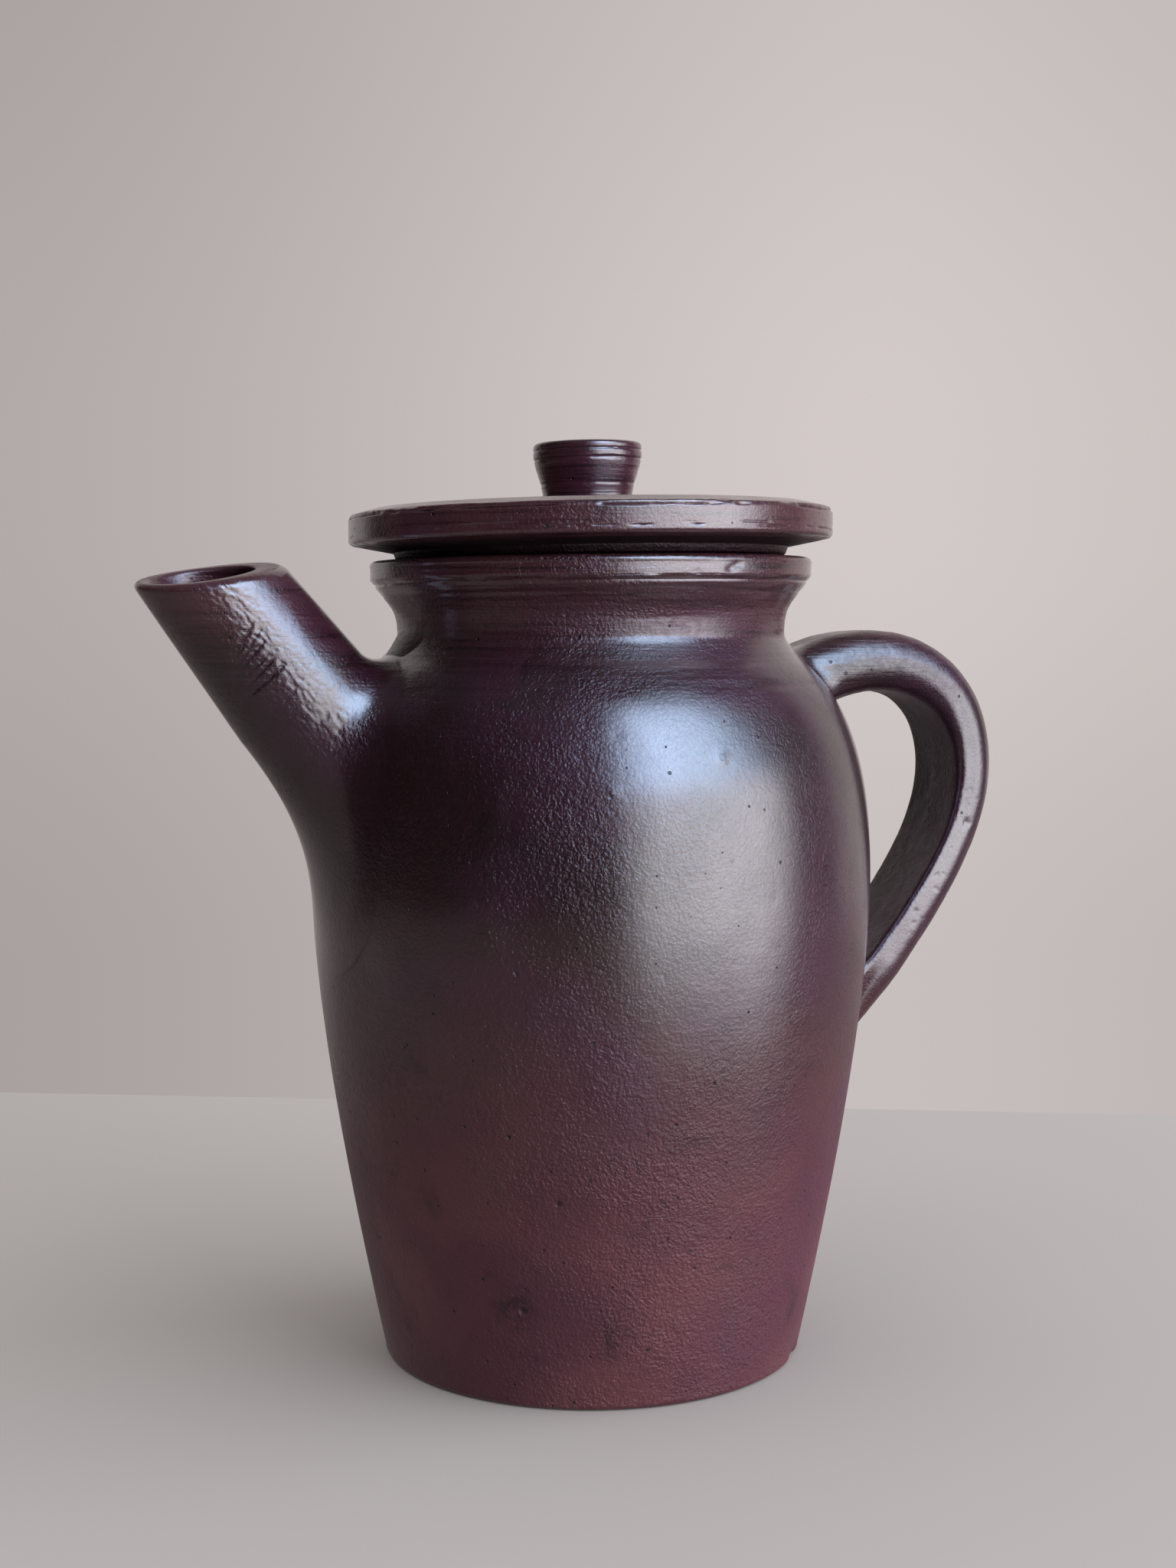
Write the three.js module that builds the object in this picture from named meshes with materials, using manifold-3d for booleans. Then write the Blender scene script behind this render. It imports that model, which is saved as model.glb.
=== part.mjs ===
import * as THREE from 'three';
import { mergeVertices } from 'three/addons/utils/BufferGeometryUtils.js';
import Module from 'manifold-3d';

// A hand-thrown ceramic coffee pot with a loose lid. Millimetres, +Z up.
// The origin is the centre of the foot, the spout points to -X and the handle to +X.

const wasm = await Module();
wasm.setup();

const degrees = Math.PI / 180;

// Jar: outer radii and the heights where they are reached
const footRadius = 51.7;
const footEdge = 1.6;
const footLean = 12 * degrees;
const bellyRadius = 69.2;
const bellyHeight = 117.6;
const shoulderRadius = 52.5;
const shoulderHeight = 171.6;
const shoulderLean = 48.7 * degrees;
const neckRadius = 47.9;
const neckHeight = 177.8;
const rimRadius = 54.4;
const rimHeight = 196.2;
const rimBand = 5.9;
const rimLean = 37 * degrees;
const rimThickness = 10;
const rimRounding = 1.5;
const wallThickness = 4.8;
const floorThickness = 8;
const floorFillet = 9;

// Strainer pierced through the wall behind the spout
const strainerHole = 4.5;
const strainerPitch = 8.6;
const strainerRing = 6;

// Spout: a tapering tube that leans out from the shoulder
const spoutReach = 96.3;
const spoutHeight = 192.1;
const spoutRise = 51.9 * degrees;
const spoutMouthRadius = 15.2;
const spoutTaper = 0.0676;
const spoutBoreRadius = 10.4;
const spoutBoreTaper = 0.05;
const spoutStraight = 36;
const spoutSpread = 25.3;
const spoutApron = 6;
const mouthDrop = 9 * degrees;
const mouthLean = 7 * degrees;
const lipRounding = 2.2;

// Handle: a pulled strap, arched from the shoulder down to the belly
const handleTopHeight = 166.6;
const handleTopRise = 23 * degrees;
const handleReach = 104.9;
const handleReachHeight = 143;
const handleFootHeight = 77;
const handleFootSlope = 50.5 * degrees;
const handleWidth = 25;
const handleThicknesses = [16.6, 15.2, 12.4, 11, 11.4, 13];
const handleEdge = 4;
const handleTopSpread = 2.2;
const handleFootSpread = 2.4;
const handleTopFree = 9;
const handleFootFree = 21;

// Lid: a thick disc with a bevelled underside and a flange that drops into the neck
const lidRadius = 59.5;
const lidBandBottom = 3.7;
const lidBandHeight = 7.4;
const lidEdge = 1.3;
const lidShoulder = 5.5;
const lidShoulderRise = 1.5;
const lidCrown = 1.7;
const lidPlateThickness = 7.6;
const lidSeatWidth = 3.6;
const lidSeatStep = 1.8;
const flangeDepth = 9;
const flangeThickness = 5;
const flangeClearance = 2.6;
const flangeRounding = 1.2;

// Knob on the middle of the lid
const knobRadius = 13.5;
const knobFootRadius = 11.1;
const knobHeight = 13.6;
const knobBand = 2.2;
const knobRounding = 1.3;
const knobCrown = 0.5;
const knobOffCentre = 0.8;

// Clearances between neighbouring pieces
const lidSeatClearance = 0.3;
const luteGap = 0.4;
const luteEdge = 1.2;

const jarSegments = 48;
const lidSegments = 48;
const knobSegments = 32;
const spoutSegments = 32;
const blendHandle = 0.4;

const point = (radius, height) => new THREE.Vector2(radius, height);

/** Cubic curve that leaves start along one direction and arrives at end along another. */
function sweep(start, leave, leaveLength, end, arrive, arriveLength, steps) {
  const curve = new THREE.CubicBezierCurve(
    start,
    start.clone().addScaledVector(leave, leaveLength),
    end.clone().addScaledVector(arrive, -arriveLength),
    end,
  );
  return curve.getPoints(steps);
}

/** Quarter-round between two square directions, from centre + first to centre + second. */
function quarterRound(centre, first, second, radius, steps) {
  return Array.from({ length: steps + 1 }, (_, index) => {
    const turn = (index / steps) * Math.PI / 2;
    return centre.clone()
      .addScaledVector(first, radius * Math.cos(turn))
      .addScaledVector(second, radius * Math.sin(turn));
  });
}

const up = point(0, 1);
const down = point(0, -1);
const outward = point(1, 0);
const inward = point(-1, 0);
const leaning = (angle) => point(Math.sin(angle), Math.cos(angle));

/** Outer outline of the jar from just above the foot to the underside of the rim band. */
function jarOutline(density) {
  const foot = point(footRadius, 0);
  const belly = point(bellyRadius, bellyHeight);
  const shoulder = point(shoulderRadius, shoulderHeight);
  const neck = point(neckRadius, neckHeight);
  const rim = point(rimRadius - rimRounding / 2, rimHeight - rimBand);
  const bellyRise = bellyHeight;
  const shoulderRise = shoulderHeight - bellyHeight;
  const neckRise = neckHeight - shoulderHeight;
  const rimRise = rim.y - neckHeight;
  return [
    ...sweep(foot, leaning(footLean), 0.22 * bellyRise, belly, up, 0.287 * bellyRise, 9 * density),
    ...sweep(belly, up, 0.51 * shoulderRise, shoulder, leaning(-shoulderLean), 0.29 * shoulderRise,
      9 * density).slice(1),
    ...sweep(shoulder, leaning(-shoulderLean), 0.27 * neckRise, neck, up, 0.2 * neckRise,
      3 * density).slice(1),
    ...sweep(neck, up, 0.52 * rimRise, rim, leaning(rimLean), 0.58 * rimRise, 4 * density).slice(1),
  ];
}

/** The outline moved square to itself, into the wall. */
function offsetOutline(outline, distance) {
  return outline.map((here, index) => {
    const before = outline[Math.max(index - 1, 0)];
    const after = outline[Math.min(index + 1, outline.length - 1)];
    const along = after.clone().sub(before).normalize();
    return point(here.x - along.y * distance, here.y + along.x * distance);
  });
}

const fineOutline = jarOutline(8);

/** Height and slope lookups on the jar's outer surface. */
function jarRadiusAt(height) {
  const next = fineOutline.findIndex((place) => place.y > height);
  if (next <= 0) return fineOutline.at(next === 0 ? 0 : -1).x;
  const low = fineOutline[next - 1];
  const high = fineOutline[next];
  return low.x + (high.x - low.x) * (height - low.y) / (high.y - low.y);
}

function jarSlopeAt(height) {
  const step = 0.5;
  return (jarRadiusAt(height + step) - jarRadiusAt(height - step)) / (2 * step);
}

function jarNormalAt(place) {
  const round = Math.hypot(place.x, place.y);
  return new THREE.Vector3(place.x / round, place.y / round, -jarSlopeAt(place.z)).normalize();
}

/** Where a line from a place outside the jar meets its surface. */
function landOnJar(from, direction) {
  const above = (distance) => {
    const place = from.clone().addScaledVector(direction, distance);
    return Math.hypot(place.x, place.y) - jarRadiusAt(place.z);
  };
  const stride = 0.5;
  let far = 0;
  while (above(far) > 0) far += stride;
  let near = far - stride;
  for (let turn = 0; turn < 20; turn += 1) {
    const middle = (near + far) / 2;
    if (above(middle) > 0) near = middle;
    else far = middle;
  }
  return from.clone().addScaledVector(direction, near);
}

/** A solid turned about the Z axis from a profile of radii and heights. */
function turned(profile, segments) {
  const geometry = new THREE.LatheGeometry(profile, segments);
  geometry.rotateX(Math.PI / 2);
  return merged(geometry);
}

function merged(geometry) {
  geometry.deleteAttribute('normal');
  geometry.deleteAttribute('uv');
  return mergeVertices(geometry, 1e-4);
}

/** A solid skinned over rings of equal count: a closed loop of rings, or one with capped ends. */
function skinned(rings, closed) {
  const count = rings[0].length;
  const middles = closed ? [] : [rings[0], rings.at(-1)].map(middleOf);
  const positions = [...rings.flat(), ...middles].flatMap((place) => [place.x, place.y, place.z]);
  const last = (rings.length - 1) * count;
  const triangles = [];
  for (let ring = 0; ring < rings.length; ring += 1) {
    const here = ring * count;
    const next = here === last ? 0 : here + count;
    for (let side = 0; side < count; side += 1) {
      const turn = (side + 1) % count;
      if (closed || here < last) {
        triangles.push(here + side, here + turn, next + turn, here + side, next + turn, next + side);
      } else {
        triangles.push(last + count, turn, side, last + count + 1, last + side, last + turn);
      }
    }
  }
  const geometry = new THREE.BufferGeometry();
  geometry.setAttribute('position', new THREE.Float32BufferAttribute(positions, 3));
  geometry.setIndex(triangles);
  return geometry;
}

function middleOf(ring) {
  return ring.reduce((sum, place) => sum.add(place), new THREE.Vector3()).divideScalar(ring.length);
}

/** Rings that carry a free ring onto the jar and on into its wall, where they are cut off. */
function rootRings(free, leaving, landing, steps) {
  const middle = middleOf(landing);
  const curves = free.map((start, side) => {
    const seat = landing[side];
    const normal = jarNormalAt(seat);
    const end = seat.clone().addScaledVector(normal, luteGap + luteEdge);
    const away = seat.clone().sub(middle);
    away.addScaledVector(normal, -away.dot(normal)).normalize();
    const reach = blendHandle * start.distanceTo(end);
    return new THREE.CubicBezierCurve3(
      start,
      start.clone().addScaledVector(leaving, reach),
      end.clone().addScaledVector(away, -reach),
      end,
    );
  });
  const blend = Array.from({ length: steps }, (_, step) =>
    curves.map((curve) => curve.getPoint((step + 1) / steps)));
  return [...blend, sunk(landing)];
}

function sunk(ring) {
  return ring.map((seat) => seat.clone().addScaledVector(jarNormalAt(seat), -wallThickness / 2));
}

function toSolid(geometry) {
  return new wasm.Manifold(new wasm.Mesh({
    numProp: 3,
    vertProperties: new Float32Array(geometry.getAttribute('position').array),
    triVerts: new Uint32Array(geometry.getIndex().array),
  }));
}

function toGeometry(solid) {
  const mesh = solid.getMesh();
  const geometry = new THREE.BufferGeometry();
  geometry.setAttribute('position', new THREE.BufferAttribute(mesh.vertProperties, 3));
  geometry.setIndex(new THREE.BufferAttribute(mesh.triVerts, 1));
  return geometry;
}

/** The jar's outer form grown by the luting gap, to cut the pieces that are luted to it. */
function jarEnvelope() {
  const grown = offsetOutline(jarOutline(1), -luteGap);
  const profile = [
    point(0, -rimHeight),
    point(grown[0].x, -rimHeight),
    ...grown,
    point(0, grown.at(-1).y),
  ];
  return toSolid(turned(profile, jarSegments));
}

// Spout axis, shared by the spout and the strainer behind it
const spoutMouth = new THREE.Vector3(-spoutReach, 0, spoutHeight);
const spoutOut = new THREE.Vector3(-Math.cos(spoutRise), 0, Math.sin(spoutRise));
const spoutIn = spoutOut.clone().negate();
const spoutUp = new THREE.Vector3(Math.sin(spoutRise), 0, Math.cos(spoutRise));
const spoutSide = new THREE.Vector3().crossVectors(spoutUp, spoutOut);
const spoutSeat = landOnJar(spoutMouth, spoutIn);

/** Jar with its floor, wall, rim and strainer. */
function makePotBody() {
  const outline = jarOutline(1).filter((place) => place.y > footEdge);
  const inner = offsetOutline(jarOutline(1), wallThickness)
    .filter((place) => place.y > floorThickness + floorFillet && place.y < rimHeight - rimBand);
  const footCorner = jarRadiusAt(footEdge);
  const innerCorner = inner[0].x - 1.5;
  const rimInner = rimRadius - rimThickness;
  const profile = [
    point(0, 0),
    ...quarterRound(point(footCorner - footEdge, footEdge), down, outward, footEdge, 3),
    ...outline,
    point(rimRadius, rimHeight - rimBand + rimRounding / 2),
    ...quarterRound(point(rimRadius - rimRounding, rimHeight - rimRounding), outward, up, rimRounding, 3),
    ...quarterRound(point(rimInner + rimRounding, rimHeight - rimRounding), up, inward, rimRounding, 3),
    ...inner.reverse(),
    ...quarterRound(point(innerCorner - floorFillet, floorThickness + floorFillet), outward, down,
      floorFillet, 4),
    point(0, floorThickness),
  ];
  const normal = jarNormalAt(spoutSeat);
  const across = new THREE.Vector3(0, 1, 0);
  const along = new THREE.Vector3().crossVectors(normal, across);
  const turnToNormal = new THREE.Quaternion().setFromUnitVectors(across, normal);
  const places = [[0, 0]];
  for (let hole = 0; hole < strainerRing; hole += 1) {
    const turn = hole * 2 * Math.PI / strainerRing;
    places.push([strainerPitch * Math.cos(turn), strainerPitch * Math.sin(turn)]);
  }
  let body = toSolid(turned(profile, jarSegments));
  places.forEach(([sideways, upwards]) => {
    const drill = new THREE.CylinderGeometry(strainerHole / 2, strainerHole / 2, 4 * wallThickness, 12);
    drill.applyQuaternion(turnToNormal);
    const centre = spoutSeat.clone().addScaledVector(across, sideways).addScaledVector(along, upwards);
    drill.translate(centre.x, centre.y, centre.z);
    body = body.subtract(toSolid(merged(drill)));
  });
  return toGeometry(body);
}

/** Tapering spout with a slanted mouth, a bore and a spread foot that lies on the shoulder. */
function makeSpout() {
  const towardTip = new THREE.Vector3(-Math.cos(mouthDrop), 0, -Math.sin(mouthDrop));
  const towardSide = new THREE.Vector3(0, -Math.cos(mouthLean), -Math.sin(mouthLean));
  const mouthNormal = new THREE.Vector3().crossVectors(towardSide, towardTip).normalize();
  if (mouthNormal.z < 0) mouthNormal.negate();
  const spokes = Array.from({ length: spoutSegments }, (_, side) => {
    const turn = side * 2 * Math.PI / spoutSegments;
    return spoutUp.clone().multiplyScalar(Math.cos(turn)).addScaledVector(spoutSide, Math.sin(turn));
  });
  const mouthDepth = (place) => -place.clone().sub(spoutMouth).dot(mouthNormal) / spoutOut.dot(mouthNormal);

  // Ring at a slanted depth below the mouth plane, its spokes as long as the taper makes them
  const slantRing = (radius, depth, taper) => spokes.map((spoke) => {
    const place = spoutMouth.clone().addScaledVector(spoke, radius);
    const slide = mouthDepth(place) - depth;
    return place.addScaledVector(spoutOut, slide).addScaledVector(spoke, -taper * slide);
  });
  // Ring square to the axis at a depth below the mouth's middle
  const squareRing = (radius, depth) => spokes.map((spoke) =>
    spoutMouth.clone().addScaledVector(spoutIn, depth).addScaledVector(spoke, radius));
  const outerRadius = (depth) => spoutMouthRadius + spoutTaper * depth;
  const boreRadius = (depth) => spoutBoreRadius + spoutBoreTaper * depth;

  const taperRings = 3;
  const free = squareRing(outerRadius(spoutStraight), spoutStraight);
  const firstOuter = slantRing(spoutMouthRadius, lipRounding, spoutTaper);
  const outer = Array.from({ length: taperRings }, (_, step) =>
    firstOuter.map((place, side) => place.clone().lerp(free[side], (step + 1) / taperRings)));
  // The foot reaches further down the belly than up the shoulder
  const landing = spokes.map((spoke) => {
    const lowness = (1 - spoke.dot(spoutUp)) / 2;
    const radius = spoutSpread + spoutApron * lowness ** 2;
    return landOnJar(spoutMouth.clone().addScaledVector(spoke, radius), spoutIn);
  });
  const boreEnd = squareRing(boreRadius(spoutMouth.distanceTo(spoutSeat)), 0)
    .map((place) => landOnJar(place, spoutIn).addScaledVector(spoutIn, wallThickness / 2));
  const rings = [
    slantRing(spoutBoreRadius, lipRounding / 2, spoutBoreTaper),
    slantRing(spoutBoreRadius + lipRounding / 2, 0, spoutBoreTaper),
    slantRing(spoutMouthRadius - lipRounding, 0, spoutTaper),
    slantRing(spoutMouthRadius - lipRounding / 3, lipRounding / 3, spoutTaper),
    firstOuter,
    ...outer,
    ...rootRings(free, spoutIn, landing, 6),
    boreEnd,
  ];
  return toGeometry(toSolid(skinned(rings, true)).subtract(jarEnvelope()));
}

/** Middle line of the handle, from the shoulder over the arch and down to the belly. */
function handleRoute() {
  const top = new THREE.Vector3(jarRadiusAt(handleTopHeight), 0, handleTopHeight);
  const far = new THREE.Vector3(handleReach, 0, handleReachHeight);
  const foot = new THREE.Vector3(jarRadiusAt(handleFootHeight), 0, handleFootHeight);
  const topOut = new THREE.Vector3(Math.cos(handleTopRise), 0, Math.sin(handleTopRise));
  const footOut = new THREE.Vector3(Math.cos(handleFootSlope), 0, Math.sin(handleFootSlope));
  const archReach = handleReach - top.x;
  const upper = new THREE.CubicBezierCurve3(
    top,
    top.clone().addScaledVector(topOut, 0.62 * archReach),
    far.clone().add(new THREE.Vector3(0, 0, 0.95 * (handleTopHeight - handleReachHeight))),
    far,
  );
  const lower = new THREE.CubicBezierCurve3(
    far,
    far.clone().add(new THREE.Vector3(0, 0, -0.33 * (handleReachHeight - handleFootHeight))),
    foot.clone().addScaledVector(footOut, 0.42 * (handleReachHeight - handleFootHeight)),
    foot,
  );
  const route = new THREE.CurvePath();
  route.add(upper);
  route.add(lower);
  return route;
}

/** Strap handle whose spread ends lie on the shoulder and the belly. */
function makeHandle() {
  const route = handleRoute();
  const length = route.getLength();
  const across = new THREE.Vector3(0, -1, 0);
  const thicknessAt = (share) => {
    const place = share * (handleThicknesses.length - 1);
    const index = Math.min(Math.floor(place), handleThicknesses.length - 2);
    return THREE.MathUtils.lerp(handleThicknesses[index], handleThicknesses[index + 1], place - index);
  };
  // Rounded oblong: four points to a corner, and two more on each broad face
  const section = (thickness, width) => {
    const high = thickness / 2 - handleEdge;
    const wide = width / 2 - handleEdge;
    const corner = (highSign, wideSign, quarter) => [0, 1, 2, 3].map((step) => {
      const turn = (quarter + step / 3) * Math.PI / 2;
      return [highSign * high + handleEdge * Math.cos(turn), wideSign * wide + handleEdge * Math.sin(turn)];
    });
    const face = (sign) => [sign * thickness / 2, sign * wide / 3];
    return [
      ...corner(1, 1, 0),
      ...corner(-1, 1, 1),
      [face(-1)[0], wide / 3],
      face(-1),
      ...corner(-1, -1, 2),
      ...corner(1, -1, 3),
      [face(1)[0], -wide / 3],
      face(1),
    ];
  };
  const ringAt = (share, spread) => {
    const place = route.getPointAt(share);
    const along = route.getTangentAt(share);
    const outside = new THREE.Vector3().crossVectors(across, along);
    return section(thicknessAt(share) + 2 * spread, handleWidth + 2 * spread).map(([high, wide]) =>
      place.clone().addScaledVector(outside, high).addScaledVector(across, wide));
  };
  const topShare = handleTopFree / length;
  const footShare = 1 - handleFootFree / length;
  const freeRings = 14;
  const middle = Array.from({ length: freeRings + 1 }, (_, step) =>
    ringAt(THREE.MathUtils.lerp(topShare, footShare, step / freeRings), 0));
  const rooted = (share, spread, sign) => {
    const leaving = route.getTangentAt(share).multiplyScalar(sign);
    const landing = ringAt(share, spread).map((place) => landOnJar(place, leaving));
    return rootRings(ringAt(share, 0), leaving, landing, 4);
  };
  const topRings = rooted(topShare, handleTopSpread, -1).reverse();
  const footRings = rooted(footShare, handleFootSpread, 1);
  const strap = skinned([...topRings, ...middle, ...footRings], false);
  return toGeometry(toSolid(strap).subtract(jarEnvelope()));
}

const lidSeat = rimHeight + lidSeatClearance;
const lidTop = lidSeat + lidBandBottom + lidBandHeight + lidShoulderRise + lidCrown;

/** Lid turned in one piece: plate, bevelled underside, band and locating flange. */
function makeLid() {
  const flangeOuter = neckRadius - wallThickness - flangeClearance;
  const flangeInner = flangeOuter - flangeThickness;
  const flangeBottom = lidSeat - flangeDepth;
  const plateUnder = lidTop - lidPlateThickness;
  const seatOuter = rimRadius - rimThickness + lidSeatWidth;
  const bandBottom = lidSeat + lidBandBottom;
  const bandTop = bandBottom + lidBandHeight;
  const crownRadius = lidRadius - lidShoulder;
  const crown = sweep(point(crownRadius, bandTop + lidShoulderRise), inward, crownRadius / 3,
    point(knobFootRadius + 1, lidTop), inward, crownRadius / 3, 5);
  const profile = [
    point(0, plateUnder),
    point(flangeInner, plateUnder),
    ...quarterRound(point(flangeInner + flangeRounding, flangeBottom + flangeRounding), inward, down,
      flangeRounding, 2),
    ...quarterRound(point(flangeOuter - flangeRounding, flangeBottom + flangeRounding), down, outward,
      flangeRounding, 2),
    point(flangeOuter, lidSeat),
    point(seatOuter, lidSeat),
    point(seatOuter + lidSeatStep / 3, lidSeat + lidSeatStep),
    point(lidRadius - lidEdge, bandBottom),
    point(lidRadius - lidEdge / 4, bandBottom + lidEdge / 2),
    point(lidRadius, bandBottom + lidEdge),
    point(lidRadius, bandTop - lidEdge),
    point(lidRadius - lidEdge / 2, bandTop - lidEdge / 4),
    point(lidRadius - lidEdge * 1.5, bandTop + lidShoulderRise / 3),
    ...crown,
    point(0, lidTop),
  ];
  return turned(profile, lidSegments);
}

/** Waisted knob with a narrow band and a low crown. */
function makeKnob() {
  const bottom = lidTop + luteGap;
  const bandBottom = bottom + knobHeight - knobRounding - knobBand;
  const side = sweep(point(knobFootRadius, bottom), up, knobHeight / 4,
    point(knobRadius, bandBottom), leaning(8 * degrees), knobHeight / 4, 5);
  const profile = [
    point(0, bottom),
    ...side,
    point(knobRadius, bandBottom + knobBand),
    ...quarterRound(point(knobRadius - knobRounding, bandBottom + knobBand), outward, up, knobRounding, 3)
      .slice(1),
    point(knobRadius / 3, bandBottom + knobBand + knobRounding + knobCrown * 0.8),
    point(0, bandBottom + knobBand + knobRounding + knobCrown),
  ];
  return turned(profile, knobSegments);
}

/** A named mesh with a burnished clay finish of its own. */
function piece(name, geometry, color, roughness) {
  geometry.computeVertexNormals();
  const material = new THREE.MeshStandardMaterial({ color, roughness, metalness: 0 });
  const mesh = new THREE.Mesh(geometry, material);
  mesh.name = name;
  return mesh;
}

const pot = new THREE.Group();
pot.name = 'pot';
pot.add(
  piece('pot_body', makePotBody(), 0x3a2228, 0.36),
  piece('spout', makeSpout(), 0x3c242a, 0.38),
  piece('handle', makeHandle(), 0x3a2329, 0.36),
);

const lidGroup = new THREE.Group();
lidGroup.name = 'lid_with_knob';
const knob = piece('lid_knob', makeKnob(), 0x342024, 0.36);
knob.position.x = -knobOffCentre;
lidGroup.add(piece('lid', makeLid(), 0x40262a, 0.4), knob);

const coffeePot = new THREE.Group();
coffeePot.name = 'ceramic_coffee_pot';
coffeePot.add(pot, lidGroup);

export default coffeePot;
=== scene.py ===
"""A hand-thrown, burnished coffee pot with a loose lid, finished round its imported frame.

Sizes in the classes are millimetres, as on a potter's drawing, and angles are degrees. Meshes are
written in metres in the frame's own axes: +Z up, the spout towards -X and the handle towards +X.
"""

import logging
import math
from dataclasses import dataclass, field
from enum import Enum
from functools import cache
from typing import Callable, Sequence

import bpy
import numpy as np
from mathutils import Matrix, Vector


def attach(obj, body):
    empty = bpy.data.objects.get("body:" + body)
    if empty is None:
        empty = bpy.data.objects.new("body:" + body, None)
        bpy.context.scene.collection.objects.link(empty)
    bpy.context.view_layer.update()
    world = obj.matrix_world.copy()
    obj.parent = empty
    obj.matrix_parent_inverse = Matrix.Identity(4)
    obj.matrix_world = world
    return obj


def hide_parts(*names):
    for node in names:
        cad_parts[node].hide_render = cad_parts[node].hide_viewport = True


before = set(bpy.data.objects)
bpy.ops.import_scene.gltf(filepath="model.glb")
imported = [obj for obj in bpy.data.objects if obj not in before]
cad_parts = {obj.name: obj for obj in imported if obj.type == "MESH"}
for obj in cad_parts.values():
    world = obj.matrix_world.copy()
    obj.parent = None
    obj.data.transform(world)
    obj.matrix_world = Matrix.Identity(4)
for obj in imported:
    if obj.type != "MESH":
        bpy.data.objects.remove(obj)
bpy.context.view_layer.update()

LOG = logging.getLogger("coffee_pot")
MM = 0.001
FULL_TURN = 2 * math.pi
SHARP_ANGLE = 50.0
Array = np.ndarray
Tone = tuple[float, float, float]
Range = tuple[float, float]
BLACK: Tone = (0.0, 0.0, 0.0)


class Body(Enum):
    """The two bodies of the frame that pieces ride on."""

    POT = "pot"
    LID = "lid"


class Kind(Enum):
    """What a link between two nodes carries."""

    NUMBER = "number"
    VECTOR = "vector"
    COLOUR = "colour"


class MarkKind(Enum):
    """What a mark does to the clay."""

    PIT = -1.0
    PIMPLE = 1.0


def unit(vectors: Array) -> Array:
    """Vectors scaled to length one, along their last axis."""
    return vectors / np.linalg.norm(vectors, axis=-1, keepdims=True)


def eased(values: Array, low: float, high: float) -> Array:
    """Smooth step from 0 at low to 1 at high.

    Args:
        values: Numbers to ease.
        low: Value at which the step starts.
        high: Value at which the step has ended; it may be below low.

    Returns:
        Numbers from 0 to 1.
    """
    share = np.clip((values - low) / (high - low), 0.0, 1.0)
    return share * share * (3.0 - 2.0 * share)


def sweep(start: Array, leaving: Array, end: Array, arriving: Array, steps: int) -> Array:
    """Cubic curve between two places, with a handle at each end.

    Args:
        start: First place, or an array of places.
        leaving: Handle at the start, with its length.
        end: Last place, or an array of places.
        arriving: Handle at the end, pointing the way the curve travels.
        steps: Number of stretches.

    Returns:
        Places along the curve, the steps first.
    """
    shares = np.linspace(0.0, 1.0, steps + 1).reshape((-1,) + (1,) * np.ndim(start))
    back = 1.0 - shares
    return (back ** 3 * start + 3 * back ** 2 * shares * (start + leaving)
            + 3 * back * shares ** 2 * (end - arriving) + shares ** 3 * end)


def quarter_round(centre: Sequence[float], first: Sequence[float], second: Sequence[float],
                  radius: float, steps: int) -> Array:
    """Quarter of a circle in an outline.

    Args:
        centre: Centre as radius and height.
        first: Direction from the centre to the first point.
        second: Direction from the centre to the last point.
        radius: Radius of the rounding.
        steps: Number of stretches.

    Returns:
        Points of radius and height.
    """
    turn = np.linspace(0.0, math.pi / 2, steps + 1)[:, None]
    return (np.array(centre) + radius * np.cos(turn) * np.array(first)
            + radius * np.sin(turn) * np.array(second))


def leaning(angle: float) -> Array:
    """Direction in an outline that leans outwards from straight up by an angle."""
    return np.array([math.sin(math.radians(angle)), math.cos(math.radians(angle))])


def level(angle: float) -> Array:
    """Level direction at an angle round the Z axis, where 0 is the handle's side."""
    return np.array([math.cos(math.radians(angle)), math.sin(math.radians(angle)), 0.0])


def axis_distance(places: Array) -> Array:
    """Distance of some places from the Z axis."""
    return np.hypot(places[..., 0], places[..., 1])


def straight(first: Array, last: Array, steps: int) -> Array:
    """Even steps along the straight line between two places, or two rings of places."""
    return sweep(first, (last - first) / 3, last, (last - first) / 3, steps)


def stretch(first: Sequence[float], last: Sequence[float], count: int) -> Array:
    """Points of an outline, evenly from one to another."""
    return np.stack([np.linspace(*ends, count) for ends in zip(first, last)], axis=1)


def between(first: Array, last: Array, count: int) -> Array:
    """Points evenly between two others, without the two."""
    return first + (last - first) * np.linspace(0.0, 1.0, count + 2)[1:-1, None]


def resampled(path: Array, marks: Array, wanted: Array | float) -> Array:
    """Places of a path at wanted marks, where each of its own places has a mark."""
    return np.stack([np.interp(wanted, marks, path[:, axis]) for axis in range(path.shape[1])], axis=-1)


def dint(places: Array, centre: Array, spread: float, amount: float) -> Array:
    """Depth at some places of a soft, round dint with a middle, a spread and an amount."""
    return amount * np.exp(-(np.linalg.norm(places - centre, axis=1) / spread) ** 2)


def respaced(path: Array, spacing: Callable[[Array], Array]) -> Array:
    """An outline drawn again with its points as far apart as asked for.

    Args:
        path: Points of the outline, close together.
        spacing: Gives the wished distance between points at each height.

    Returns:
        Points of the new outline, with both ends kept.
    """
    steps = np.linalg.norm(np.diff(path, axis=0), axis=1)
    middles = (path[1:, 1] + path[:-1, 1]) / 2
    worth = np.concatenate([[0.0], np.cumsum(steps / spacing(middles))])
    count = max(2, int(round(worth[-1])) + 1)
    return resampled(path, worth, np.linspace(0.0, worth[-1], count))


UP = np.array([0.0, 1.0])
DOWN = -UP
OUTWARD = np.array([1.0, 0.0])
INWARD = -OUTWARD
SKYWARD = np.array([0.0, 0.0, 1.0])

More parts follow.
